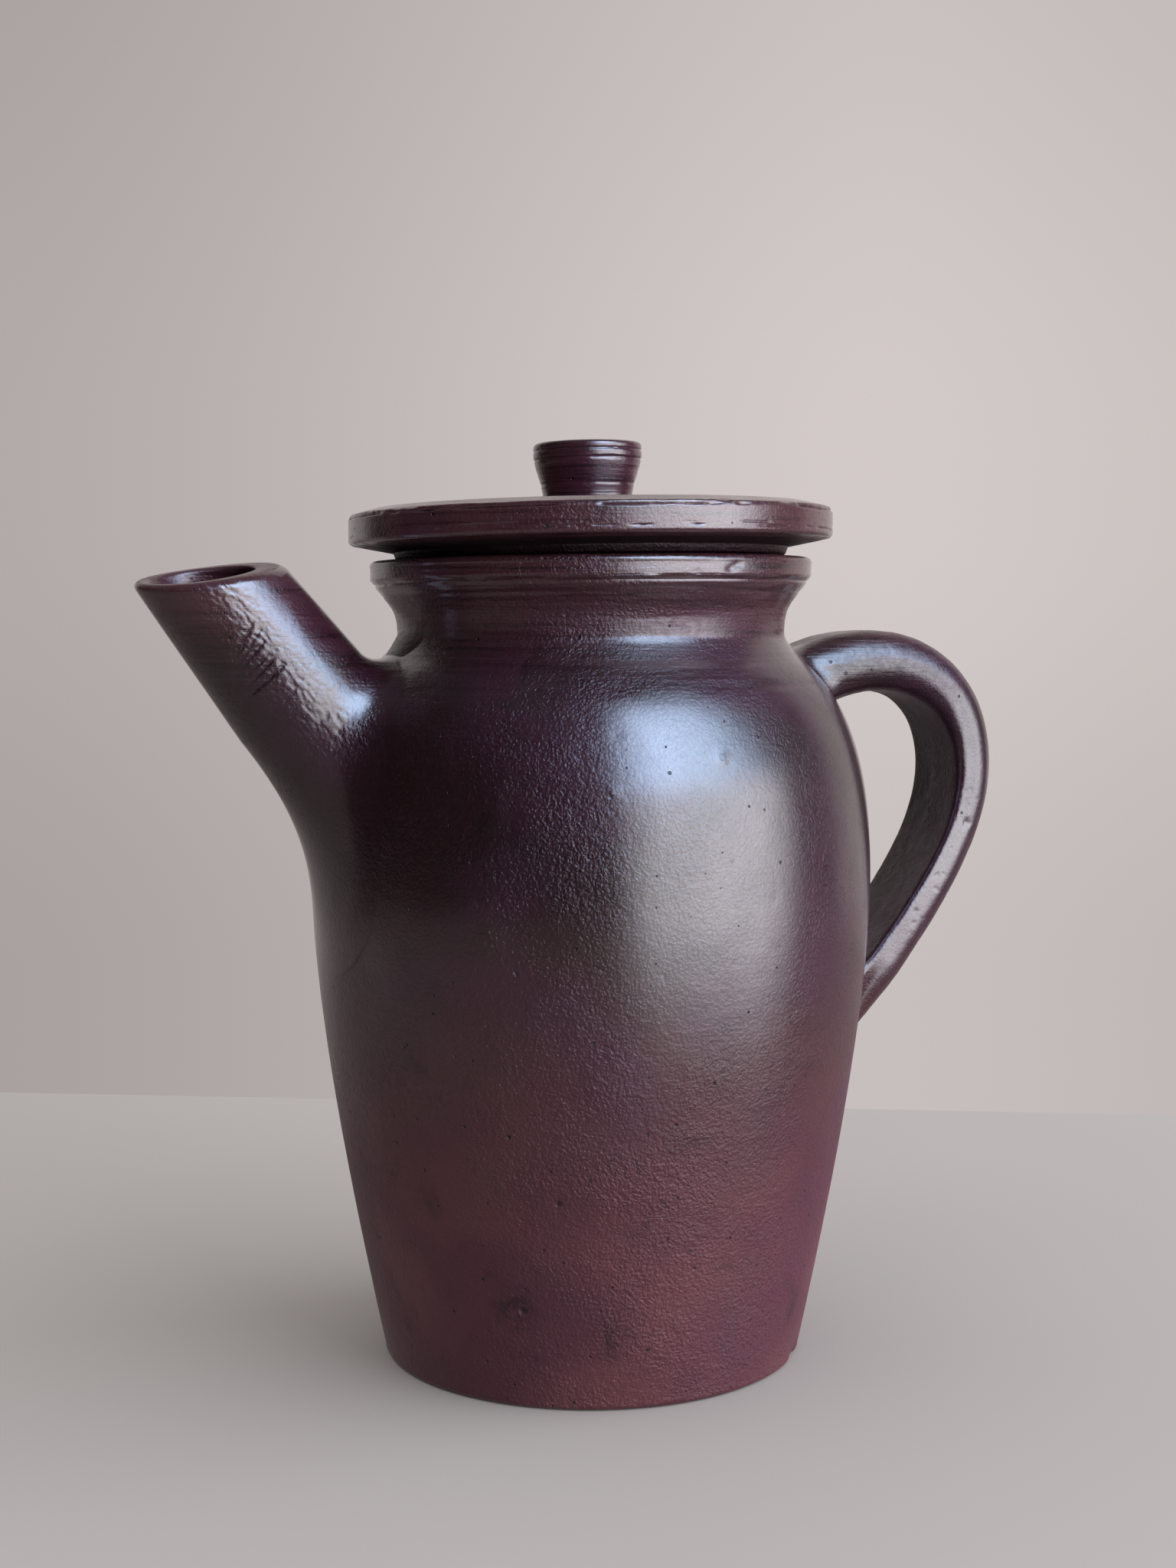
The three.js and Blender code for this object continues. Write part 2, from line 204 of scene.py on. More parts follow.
# How the corners of cells are mixed into chance values: a factor for each axis and for the seed,
# then rounds of a shift and a factor, all within the mask, and the lowest bits left out.
CORNER_FACTORS = (73856093, 19349663, 83492791)
SEED_FACTOR = 2654435761
MIXING_ROUNDS = ((15, 2246822519), (13, 3266489917))
MIXING_MASK = 0xFFFFFFFF
SPARE_BITS = 8
# Layers of rough unevenness: how much finer each is, and its share.
ROUGH_LAYERS = ((1.0, 0.6), (2.3, 0.3), (5.1, 0.15))


@dataclass(frozen=True)
class ClayNoise:
    """Repeatable smooth unevenness in space, from -1 to 1."""

    seed: int

    def _draw(self, cells: Array) -> Array:
        """Chance value of each whole-numbered cell corner."""
        across, along, up = (cells[..., axis] * factor for axis, factor in enumerate(CORNER_FACTORS))
        mixed = (across ^ along ^ up ^ (self.seed * SEED_FACTOR)) & MIXING_MASK
        for shift, factor in MIXING_ROUNDS:
            mixed = ((mixed ^ (mixed >> shift)) * factor) & MIXING_MASK
        return (mixed >> SPARE_BITS) / float(1 << (31 - SPARE_BITS)) - 1.0

    def at(self, places: Array, size: float) -> Array:
        """Unevenness at some places.

        Args:
            places: Places in three numbers each.
            size: Size of one lump, in the places' unit.

        Returns:
            One number for each place.
        """
        scaled = places / size
        cells = np.floor(scaled).astype(np.int64)
        part = scaled - cells
        ease = part * part * (3.0 - 2.0 * part)
        total = np.zeros(places.shape[:-1])
        for corner in np.ndindex(2, 2, 2):
            weight = np.prod(np.where(np.array(corner) == 1, ease, 1.0 - ease), axis=-1)
            total += weight * self._draw(cells + np.array(corner))
        return total

    def rough(self, places: Array, size: float) -> Array:
        """Three sizes of unevenness laid over each other."""
        return sum(self.at(places, size / finer) * share for finer, share in ROUGH_LAYERS)


@dataclass(frozen=True)
class JarForm:
    """Outer form of the thrown jar, which everything luted to it follows.

    Each of the pulls belongs to one stretch of the outline. It holds the shares of the stretch's rise
    by which its curve is pulled at the start and at the end, and its number of steps.
    """

    foot_radius: float = 51.7
    foot_lean: float = 12.0
    belly_radius: float = 69.2
    belly_height: float = 117.6
    shoulder_radius: float = 52.5
    shoulder_height: float = 171.6
    shoulder_lean: float = 48.7
    neck_radius: float = 47.9
    neck_height: float = 177.8
    rim_radius: float = 54.4
    rim_height: float = 196.2
    rim_band: float = 5.9
    rim_lean: float = 37.0
    rim_rounding: float = 1.5
    pulls: tuple[tuple[float, float, int], ...] = (
        (0.22, 0.287, 160),
        (0.51, 0.29, 160),
        (0.27, 0.2, 40),
        (0.52, 0.58, 60),
    )
    belly_lines: float = 0.16
    lines_grow: Range = (161.0, 170.0)
    foot_rub: float = 0.12
    rub_grows: Range = (45.0, 108.0)
    neck_loss: float = 0.6
    loss_grows: Range = (175.0, 180.0)
    loss_ends: Range = (185.5, 189.0)
    stride: float = 0.5
    halvings: int = 20
    settlings: int = 4

    @cache
    def outline(self) -> Array:
        """Fine outline from the foot to the underside of the rim band, worked out once."""
        knots = [
            np.array([self.foot_radius, 0.0]),
            np.array([self.belly_radius, self.belly_height]),
            np.array([self.shoulder_radius, self.shoulder_height]),
            np.array([self.neck_radius, self.neck_height]),
            np.array([self.rim_radius - self.rim_rounding / 2, self.rim_low]),
        ]
        ways = [leaning(self.foot_lean), UP, leaning(-self.shoulder_lean), UP, leaning(self.rim_lean)]
        path = [knots[0][None, :]]
        for number, (leaving, arriving, steps) in enumerate(self.pulls):
            start, end = knots[number:number + 2]
            rise = end[1] - start[1]
            first, last = ways[number] * leaving * rise, ways[number + 1] * arriving * rise
            path.append(sweep(start, first, end, last, steps)[1:])
        return np.concatenate(path)

    @property
    def rim_low(self) -> float:
        """Height of the underside of the rim band."""
        return self.rim_height - self.rim_band

    def radius_at(self, heights: Array) -> Array:
        """Outer radius at some heights."""
        path = self.outline()
        return np.interp(heights, path[:, 1], path[:, 0])

    def normal_at(self, places: Array) -> Array:
        """Outward normals of the jar under some places."""
        rise = self.radius_at(places[..., 2] + self.stride) - self.radius_at(places[..., 2] - self.stride)
        away = axis_distance(places)
        slope = rise / (2 * self.stride)
        return unit(np.stack([places[..., 0] / away, places[..., 1] / away, -slope], axis=-1))

    def land(self, starts: Array, direction: Array) -> Array:
        """Where straight lines from outside the jar meet its surface.

        Args:
            starts: Places outside the jar.
            direction: Direction of all the lines, of length one.

        Returns:
            Places on the surface, one for each start.
        """
        def clear(distance: Array) -> Array:
            """Level distance from the jar of the places that far along the lines."""
            return self.clearance(starts + distance[:, None] * direction)

        far = np.zeros(len(starts))
        outside = clear(far) > 0
        while outside.any():
            far[outside] += self.stride
            outside &= clear(far) > 0
        near = far - self.stride
        for _ in range(self.halvings):
            middle = (near + far) / 2
            above = clear(middle) > 0
            near = np.where(above, middle, near)
            far = np.where(above, far, middle)
        return starts + near[:, None] * direction

    def place(self, angle: float, height: float) -> Array:
        """Place on the jar's outside at an angle round it and a height."""
        return float(self.radius_at(np.array(height))) * level(angle) + height * SKYWARD

    def blend_onto(self, free: Array, leaving: Array, landing: Array, steps: int, tension: float) -> Array:
        """Rings that carry a free ring smoothly onto the jar and just under its surface.

        Args:
            free: Ring of places where the luted piece is still free.
            leaving: Direction in which the piece runs there, of length one.
            landing: Ring of places on the jar.
            steps: Number of rings before the landing.
            tension: Share of each gap that the curve's handles take.

        Returns:
            The rings after the free one, in order.
        """
        normals = self.normal_at(landing)
        away = landing - landing.mean(axis=0)
        away = unit(away - (away * normals).sum(axis=-1, keepdims=True) * normals)
        reach = tension * np.linalg.norm(landing - free, axis=-1, keepdims=True)
        curve = sweep(free, leaving * reach, landing, away * reach, steps)[1:]
        tucked = [self.laid_on(landing + away * run, depth) for run, depth in TUCK]
        return np.concatenate([curve, np.array(tucked)])

    def laid_on(self, places: Array, depth: float) -> Array:
        """Moves places near the jar to a depth under its surface."""
        for _ in range(self.settlings):
            normals = self.normal_at(places)
            places = places - normals * (self.clearance(places) * axis_distance(normals) + depth)[:, None]
        return places

    def clearance(self, places: Array) -> Array:
        """Distance of some places from the jar's outside, measured level."""
        return axis_distance(places) - self.radius_at(places[..., 2])

    def line_strength(self, heights: Array) -> Array:
        """Strength of the throwing lines at some heights: faint on the belly, strong at the neck."""
        return self.belly_lines + (1.0 - self.belly_lines) * eased(heights, *self.lines_grow)

    def burnish(self, heights: Array) -> Array:
        """How far the outside is rubbed to a gloss at some heights: least at the foot and the neck."""
        rubbed = self.foot_rub + (1.0 - self.foot_rub) * eased(heights, *self.rub_grows)
        thrown = eased(heights, *self.loss_grows) - eased(heights, *self.loss_ends)
        return rubbed * (1.0 - self.neck_loss * thrown)


JAR = JarForm()

# A luted edge is feathered out over the jar and sinks slowly under its surface, then ends below it.
# Each step of it is a run along the jar and a depth.
FEATHER_STEP = 0.5
FEATHER_STEPS = 12
FEATHER_SINK = 0.0013
FEATHER = tuple((FEATHER_STEP * step, FEATHER_SINK * (FEATHER_STEP * step) ** 2)
                for step in range(1, FEATHER_STEPS + 1))
TUCK = FEATHER + ((6.6, 0.12), (7.0, 0.9))

LEAN_TOWARDS = -22.0
LUMPS = {"Lump depth": 0.11 * MM, "Lumps per metre": 34.0}
JAR_LINES = {"Line depth": 0.26 * MM, "Lines per metre": 950.0}


@dataclass(frozen=True)
class Link:
    """What one node hands to the next, with Python's operators as Math nodes."""

    graph: "Graph"
    socket: bpy.types.NodeSocket
    kind: Kind = Kind.NUMBER

    def _joined(self, operation: str, *values: object) -> "Link":
        """A Math or Vector Math node on this link and others."""
        if self.kind is Kind.VECTOR:
            return self.graph.vector_maths(operation, *values)
        return self.graph.maths(operation, *values)

    def __add__(self, other: object) -> "Link":
        """Sum with another link or number."""
        return self._joined("ADD", self, other)

    __radd__ = __add__

    def __sub__(self, other: object) -> "Link":
        """This less another."""
        return self._joined("SUBTRACT", self, other)

    def __rsub__(self, other: object) -> "Link":
        """Another less this."""
        return self._joined("SUBTRACT", other, self)

    def __mul__(self, other: object) -> "Link":
        """Product with another link or number."""
        return self._joined("MULTIPLY", self, other)

    __rmul__ = __mul__

    def __truediv__(self, other: object) -> "Link":
        """This divided by another."""
        return self._joined("DIVIDE", self, other)

    def __rtruediv__(self, other: object) -> "Link":
        """Another divided by this."""
        return self._joined("DIVIDE", other, self)

    def larger(self, other: object) -> "Link":
        """The larger of this and another."""
        return self._joined("MAXIMUM", self, other)

    def smaller(self, other: object) -> "Link":
        """The smaller of this and another."""
        return self._joined("MINIMUM", self, other)

    def step(self, low: float, high: float, first: float = 0.0, last: float = 1.0) -> "Link":
        """Smooth step from one value to another.

        Args:
            low: Number at which the step starts.
            high: Number at which it has ended.
            first: Value up to low.
            last: Value from high on.

        Returns:
            The stepped number.
        """
        bounds = (high, low, last, first) if high < low else (low, high, first, last)
        values = {"Value": self, **dict(zip(("From Min", "From Max", "To Min", "To Max"), bounds))}
        return self.graph.link("ShaderNodeMapRange", "Result", {"interpolation_type": "SMOOTHSTEP"}, values)


class Graph:
    """A node tree that is written as expressions."""

    def __init__(self, tree: bpy.types.NodeTree) -> None:
        """Takes the tree that the nodes go into."""
        self.tree = tree

    def node(self, kind: str, settings: dict[str, object] | None = None,
             values: dict[str | int, object] | None = None) -> bpy.types.Node:
        """Adds one node.

        Args:
            kind: Blender's name for the type of node.
            settings: The node's own settings, set first.
            values: What goes into its sockets, by name or number: a link or a constant.

        Returns:
            The new node.
        """
        made = self.tree.nodes.new(kind)
        for name, setting in (settings or {}).items():
            setattr(made, name, setting)
        for name, value in (values or {}).items():
            if isinstance(value, Link):
                self.tree.links.new(value.socket, made.inputs[name])
            else:
                made.inputs[name].default_value = value
        return made

    def link(self, kind: str, output: str | int, settings: dict[str, object] | None = None,
             values: dict[str | int, object] | None = None, carries: Kind = Kind.NUMBER) -> Link:
        """Adds one node and hands on one of its outputs.

        Args:
            kind: Blender's name for the type of node.
            output: Name or number of the output.
            settings: The node's own settings, set first.
            values: What goes into its sockets, by name or number.
            carries: What the output carries.

        Returns:
            The link from that output.
        """
        return Link(self, self.node(kind, settings, values).outputs[output], carries)

    def maths(self, operation: str, *values: object) -> Link:
        """A Math node on numbers."""
        return self.link("ShaderNodeMath", 0, {"operation": operation}, dict(enumerate(values)))

    def vector_maths(self, operation: str, *values: object) -> Link:
        """A Vector Math node; numbers stand for the same number three times."""
        filled = {index: (value,) * 3 if isinstance(value, (int, float)) else value
                  for index, value in enumerate(values)}
        ends = ("Value", Kind.NUMBER) if operation in ("DISTANCE", "DOT_PRODUCT") else ("Vector", Kind.VECTOR)
        return self.link("ShaderNodeVectorMath", ends[0], {"operation": operation}, filled, ends[1])

    def scaled(self, vector: Link, factor: Link) -> Link:
        """A vector times a number."""
        values = {0: vector, "Scale": factor}
        return self.link("ShaderNodeVectorMath", "Vector", {"operation": "SCALE"}, values, Kind.VECTOR)

    def parts(self, vector: Link) -> tuple[Link, Link, Link]:
        """The three numbers of a vector."""
        made = self.node("ShaderNodeSeparateXYZ", None, {0: vector})
        return tuple(Link(self, socket) for socket in made.outputs)

    def joined(self, *numbers: object) -> Link:
        """A vector of three numbers."""
        return self.link("ShaderNodeCombineXYZ", 0, None, dict(enumerate(numbers)), Kind.VECTOR)

    def noise(self, place: Link, scale: float, detail: float = 2.0, warp: float = 0.0,
              gain: float = 0.5) -> Link:
        """Unevenness from 0 to 1.

        Args:
            place: Where it is read.
            scale: Lumps for each metre.
            detail: Number of finer layers.
            warp: How far it is pushed about.
            gain: Strength of each finer layer.

        Returns:
            A number, 0.5 on average.
        """
        values = {"Vector": place, "Scale": scale, "Detail": detail, "Distortion": warp, "Roughness": gain}
        return self.link("ShaderNodeTexNoise", 0, {"noise_dimensions": "3D"}, values)

    def mix(self, factor: object, first: Link | Tone, second: Link | Tone) -> Link:
        """Colour between two colours, each a link or three numbers."""
        ends = [end if isinstance(end, Link) else (*end, 1.0) for end in (first, second)]
        values = {0: factor, 6: ends[0], 7: ends[1]}
        return self.link("ShaderNodeMix", 2, {"data_type": "RGBA"}, values, Kind.COLOUR)

    def near(self, place: Link, centre: Array, radius: float, core: float = 0.0) -> Link:
        """Mask that is 1 close to a place and 0 from a distance on.

        Args:
            place: Where the mask is read, in metres.
            centre: Middle of the mask, in millimetres.
            radius: Distance at which it has ended, in millimetres.
            core: Distance up to which it is whole, in millimetres.

        Returns:
            A number from 0 to 1.
        """
        return self.vector_maths("DISTANCE", place, in_metres(centre)).step(radius * MM, core * MM)

    def stroke(self, place: Link, start: Array, end: Array, width: float) -> Link:
        """Mask along a straight stroke.

        Args:
            place: Where the mask is read, in metres.
            start: One end, in millimetres.
            end: The other end, in millimetres.
            width: Whole width, in millimetres.

        Returns:
            A number from 0 to 1.
        """
        along = np.array(end - start) * MM
        run = self.vector_maths("SUBTRACT", place, in_metres(start))
        share = self.vector_maths("DOT_PRODUCT", run, tuple(along / (along @ along)))
        foot = self.scaled(self.joined(*along.tolist()), share.larger(0.0).smaller(1.0))
        return self.vector_maths("DISTANCE", run, foot).step(width * MM / 2, 0.0)

    def dress(self, values: dict[str, object]) -> None:
        """Ends a material with a Principled shader on some values."""
        shader = self.link("ShaderNodeBsdfPrincipled", "BSDF", None, values)
        self.node("ShaderNodeOutputMaterial", None, {"Surface": shader})


def in_metres(place: Array) -> tuple[float, ...]:
    """A place in millimetres as a constant in metres."""
    return tuple(float(value) * MM for value in place)


def opened(owner: bpy.types.ID, coordinates: str) -> tuple[Graph, Link]:
    """Empties the nodes of a material or a world, and gives its graph and its coordinates."""
    owner.use_nodes = True
    owner.node_tree.nodes.clear()
    graph = Graph(owner.node_tree)
    return graph, graph.link("ShaderNodeTexCoord", coordinates, carries=Kind.VECTOR)


@dataclass(frozen=True)
class Cloud:
    """A cloudy pattern in space, and the range of it over which it comes in.

    The scale is in lumps for each metre. The pattern goes from first, up to low, to last, from high on.
    """

    scale: float
    detail: float
    low: float
    high: float
    first: float = 0.0
    last: float = 1.0
    warp: float = 0.0
    gain: float = 0.5
    shift: float = 0.0

    def on(self, graph: Graph, place: Link) -> Link:
        """The pattern's strength at a place."""
        pattern = graph.noise(place + self.shift, self.scale, self.detail, self.warp, self.gain)
        return pattern.step(self.low, self.high, self.first, self.last)


# Clouds of the clay's tone, gloss and relief.
PLUM_CLOUD = Cloud(26.0, 3.0, 0.40, 0.68, last=0.5, warp=0.4, shift=0.37)
ASH_CLOUD = Cloud(42.0, 5.0, 0.5, 0.75, last=0.32, warp=0.5, gain=0.62, shift=0.81)
SPECKLE = Cloud(900.0, 3.0, 0.55, 0.75, last=0.25, gain=0.7)
SMOKE = Cloud(62.0, 5.0, 0.56, 0.74, last=0.55, warp=0.8, gain=0.62, shift=0.23)
GLOSS_CLOUD = Cloud(48.0, 3.0, 0.3, 0.6, first=0.82)
WORKED = Cloud(38.0, 4.0, 0.3, 0.7, first=-0.03, last=0.05, warp=0.3, shift=0.11)
RELIEF_PATCH = Cloud(60.0, 2.0, 0.3, 0.7, first=0.6, last=1.15, shift=0.5)
MOTTLE = Cloud(320.0, 3.0, 0.35, 0.65, first=0.15, warp=0.6)
BROKEN = Cloud(260.0, 2.0, 0.38, 0.56)
PAINT_CLOUD = Cloud(3.0, 2.0, 0.3, 0.7)

# Patterns that are used whole, as lumps for each metre, detail, warp and gain.
DRIFT = (14.0, 3.0, 0.6)
FRAY = (620.0, 4.0, 0.6, 0.6)
RAGGED = (2400.0, 1.0)
FINE = (520.0, 2.0)
GRAIN = (1400.0, 2.0, 0.3)
DIMPLE = (480.0, 2.0, 0.6)
STREAK = (26.0, 4.0, 0.0, 0.7)
LONG_LINES = (30.0, 3.0, 0.0, 0.6)
SHORT_LINES = (120.0, 2.0, 0.3)

# How much closer than round the pot the streaks and lines lie up and down it.
STREAK_FLATTENED = (1.0, 1.0, 34.0)
LONG_FLATTENED = (1.0, 1.0, 28.0)
SHORT_FLATTENED = (1.0, 1.0, 11.0)

# Steps over the height in metres: from, to and, where they are not 0 and 1, the values at both.
# The foot's step is painted light: it paints the lower body redder than the darker upper body, as the light
# fell. The neck's step is the neck's own redder clay.
FOOT_PAINTED_LIGHT = (0.130, 0.015)
RED_NECK = (0.168, 0.186, 0.0, 0.42)
NECK_STREAKS = (0.160, 0.172, 0.1, 1.0)
NECK_LINES = (0.158, 0.172, 0.12, 1.0)

PORES_PER_METRE = 260.0
PORE_EDGE = (0.14, 0.09)
PORE_CHANCE = (0.44, 0.48)
PORE_DEPTH = 0.25
MARK_DEPTH = 0.3
SCRATCH_DEPTH = 0.06


@dataclass(frozen=True)
class BurnishedClay:
    """Dark clay rubbed to a satin gloss, painted redder towards the foot as painted light, and redder at the
    neck and greyer in clouds of its own.

    The finish reads one set of patterns in space, so it runs across luted joints unbroken. Where a surface is
    rubbed comes from the vertex attribute "burnish". Where it is not rubbed at all it is painted dark as
    shade, and its pores and pits are painted dark as shade too.
    """

    name: str
    slot: str
    dark: Tone = (0.015, 0.0045, 0.0065)
    red: Tone = (0.114, 0.038, 0.045)
    plum: Tone = (0.046, 0.011, 0.031)
    ash: Tone = (0.062, 0.036, 0.046)
    # Tone of smoke marks and stains, also used for painted shade in pores, pits and unburnished hollows.
    soot_and_shade: Tone = (0.006, 0.003, 0.004)
    roughness: float = 0.32
    matt_roughness: float = 0.50
    coat: float = 1.0
    coat_roughness: float = 0.17
    gloss_index: float = 1.42
    coat_index: float = 1.6
    grain_depth: float = 0.38
    line_depth: float = 0.30
    wheel_lines: bool = False
    marked: bool = False

    def build(self) -> bpy.types.Material:
        """Makes the node material."""
        material = bpy.data.materials.new(self.name)
        graph, place = opened(material, "Object")
        _, _, height = graph.parts(place)
        rubbed = self._rubbed(graph, place)
        pores = self._pores(graph, place)
        tone, dullness = self._tone(graph, place, height, rubbed)
        # Painted shade inside the pores.
        tone = graph.mix(pores * 0.9, tone, self.soot_and_shade)
        relief = self._relief(graph, place, height) - pores * (PORE_DEPTH * MM)
        if self.marked:
            tone, dullness, relief = self._marks(graph, place, tone, dullness, relief)
        bump = {"Distance": 1.0, "Strength": 1.0, "Height": relief}
        graph.dress({
            "Base Color": tone,
            "Roughness": dullness,
            "IOR": self.gloss_index,
            "Coat Weight": rubbed * GLOSS_CLOUD.on(graph, place) * (1.0 - pores) * self.coat,
            "Coat Roughness": self.coat_roughness,
            "Coat IOR": self.coat_index,
            "Normal": graph.link("ShaderNodeBump", "Normal", None, bump, Kind.VECTOR),
        })
        return material

    @staticmethod
    def _rubbed(graph: Graph, place: Link) -> Link:
        """How far a place is burnished, with a frayed edge where it stops."""
        amount = graph.link("ShaderNodeAttribute", "Fac", {"attribute_name": "burnish"})
        fray = graph.noise(place, *FRAY) - 0.5
        edge = 1.0 - graph.maths("ABSOLUTE", amount * 2.0 - 1.0)
        return (amount + fray * edge * 1.1).larger(0.0).smaller(1.0)

    @staticmethod
    def _pores(graph: Graph, place: Link) -> Link:
        """Mask of the small open pores, of several sizes and in no order."""
        values = {"Vector": place, "Scale": PORES_PER_METRE}
        cells = graph.node("ShaderNodeTexVoronoi", {"voronoi_dimensions": "3D"}, values)
        chance, reach, _ = graph.parts(Link(graph, cells.outputs["Color"], Kind.VECTOR))
        ragged = graph.noise(place, *RAGGED) - 0.5
        away = Link(graph, cells.outputs["Distance"]) / (reach * 0.6 + 0.4) + ragged * 0.07
        return away.step(*PORE_EDGE) * chance.step(*PORE_CHANCE)

    def _tone(self, graph: Graph, place: Link, height: Link, rubbed: Link) -> tuple[Link, Link]:
        """Colour and roughness of the clay, with painted light towards the foot and painted shade where it is
        not burnished.

        Args:
            graph: Tree of the material.
            place: Object coordinates.
            height: Their height.
            rubbed: How far the place is burnished.

        Returns:
            The colour, and the roughness.
        """
        drift = graph.noise(place, *DRIFT)
        # Painted light towards the foot, and the neck's own redder clay.
        red_clay_and_light = (height + (drift - 0.5) * 0.04).step(*FOOT_PAINTED_LIGHT) + height.step(*RED_NECK)
        tone = graph.mix(red_clay_and_light, self.dark, self.red)
        layers = ((PLUM_CLOUD, self.plum), (ASH_CLOUD, self.ash), (SPECKLE, self.ash), (SMOKE, self.soot_and_shade))
        for cloud, tint in layers:
            tone = graph.mix(cloud.on(graph, place), tone, tint)
        streak = graph.noise(place * STREAK_FLATTENED, *STREAK)
        thrown = 1.0 if self.wheel_lines else height.step(*NECK_STREAKS)
        tone = graph.mix(streak.step(0.52, 0.30) * thrown * 0.75, tone, self.soot_and_shade)
        tone = graph.mix(streak.step(0.52, 0.74) * thrown * 0.5, tone, self.ash)
        # Painted shade where the clay is not burnished at all, chiefly the lid's underside in the gap over
        # the rim.
        tone = graph.mix(rubbed.step(0.03, 0.0) * 0.8, tone, self.soot_and_shade)
        fine = graph.noise(place, *FINE)
        dullness = rubbed * (self.roughness - self.matt_roughness) + self.matt_roughness
        dullness = dullness + WORKED.on(graph, place)
        return tone, dullness + (fine - 0.5) * 0.1 + (streak - 0.5) * thrown * 0.3

    def _relief(self, graph: Graph, place: Link, height: Link) -> Link:
        """Height of the fine relief, in metres."""
        grain = graph.noise(place, *GRAIN) + graph.noise(place, *DIMPLE) * 0.7
        relief = grain * RELIEF_PATCH.on(graph, place) * (self.grain_depth * MM)
        long_lines = graph.noise(place * LONG_FLATTENED, *LONG_LINES)
        short_lines = graph.noise(place * SHORT_FLATTENED, *SHORT_LINES)
        strength = 1.0 if self.wheel_lines else height.step(*NECK_LINES)
        return relief + (long_lines + short_lines * 0.7) * (self.line_depth * MM) * strength

    def _marks(self, graph: Graph, place: Link, tone: Link, dullness: Link,
               relief: Link) -> tuple[Link, Link, Link]:
        """Adds the named pits, scratches and stains of the jar.

        Args:
            graph: Tree of the material.
            place: Object coordinates.
            tone: Colour so far.
            dullness: Roughness so far.
            relief: Relief so far.

        Returns:
            Colour, roughness and relief with the marks.
        """
        for mark in JAR_MARKS:
            spot = graph.near(place, JAR.place(mark.angle, mark.height), mark.radius, 0.25 * mark.radius)
            relief = relief + spot * (mark.kind.value * MARK_DEPTH * mark.radius * MM)
            if mark.kind is MarkKind.PIT:
                # Painted shade inside the pits.
                tone = graph.mix(spot * 0.85, tone, self.soot_and_shade)
        mottled = MOTTLE.on(graph, place)
        for stain in JAR_STAINS:
            spot = graph.near(place, JAR.place(stain.angle, stain.height), stain.radius)
            tone = graph.mix(spot * mottled * stain.strength, tone, self.soot_and_shade)
        broken = BROKEN.on(graph, place)
        for scratch in JAR_SCRATCHES:
            start = JAR.place(scratch.from_angle, scratch.from_height)
            end = JAR.place(scratch.to_angle, scratch.to_height)
            line = graph.stroke(place, start, end, scratch.width) * broken
            relief = relief - line * (SCRATCH_DEPTH * MM)
            tone = graph.mix(line * 0.45, tone, self.ash)
            dullness = dullness + line * 0.1
        return tone, dullness, relief


@dataclass(frozen=True)
class Mark:
    """A pit or pimple on the jar, at an angle round it and a height."""

    kind: MarkKind
    angle: float
    height: float
    radius: float


@dataclass(frozen=True)
class Stain:
    """A dark patch on the jar, at an angle round it and a height."""

    angle: float
    height: float
    radius: float
    strength: float


@dataclass(frozen=True)
class Scratch:
    """A straight scratch on the jar between two places."""

    from_angle: float
    from_height: float
    to_angle: float
    to_height: float
    width: float = 0.45


JAR_MARKS = (
    Mark(MarkKind.PIT, -159, 136, 0.9),
    Mark(MarkKind.PIMPLE, -85.5, 151, 1.1),
    Mark(MarkKind.PIT, -84.6, 149.8, 0.7),
    Mark(MarkKind.PIT, -85, 128, 0.7),
    Mark(MarkKind.PIMPLE, -108, 143.7, 0.8),
    Mark(MarkKind.PIT, -108.4, 142.8, 0.6),
    Mark(MarkKind.PIT, -107, 156, 0.7),
    Mark(MarkKind.PIT, -122, 144, 0.5),
    Mark(MarkKind.PIT, -124, 166, 0.7),
    Mark(MarkKind.PIT, -75.5, 119, 0.6),
    Mark(MarkKind.PIT, -74, 108, 0.6),
    Mark(MarkKind.PIT, -126, 104, 0.8),
    Mark(MarkKind.PIT, -110, 87, 0.6),
    Mark(MarkKind.PIT, -95, 69, 0.7),
    Mark(MarkKind.PIT, -88.5, 34, 0.7),
    Mark(MarkKind.PIT, -119, 51, 1.0),
    Mark(MarkKind.PIT, -128, 24.5, 1.3),
    Mark(MarkKind.PIT, -110, 25, 0.6),
)

JAR_STAINS = (
    Stain(-130, 25, 9, 0.75),
    Stain(-107, 18, 8, 0.6),
    Stain(-163, 98, 8, 0.8),
    Stain(-150, 104, 11, 0.5),
    Stain(-95, 67, 9, 0.25),
    Stain(-150, 48, 7, 0.4),
    Stain(-39, 2, 5, 0.8),
)

JAR_SCRATCHES = (
    Scratch(-102, 47.5, -93.5, 47.2),
    Scratch(-93.5, 47.2, -85, 47.0),
    Scratch(-89.5, 51, -76, 50),
    Scratch(-86.5, 29, -81, 26.7),
    Scratch(-81, 26.7, -76, 27.8),
    Scratch(-84, 78, -80, 74, 0.8),
    Scratch(-82, 75, -77, 72, 0.8),
    Scratch(-78, 72, -73, 73, 0.7),
    Scratch(-99, 68.5, -96, 66.5, 0.7),
    Scratch(-102, 71, -99, 68, 0.6),
    Scratch(-82, 60, -79, 57, 0.8),
)


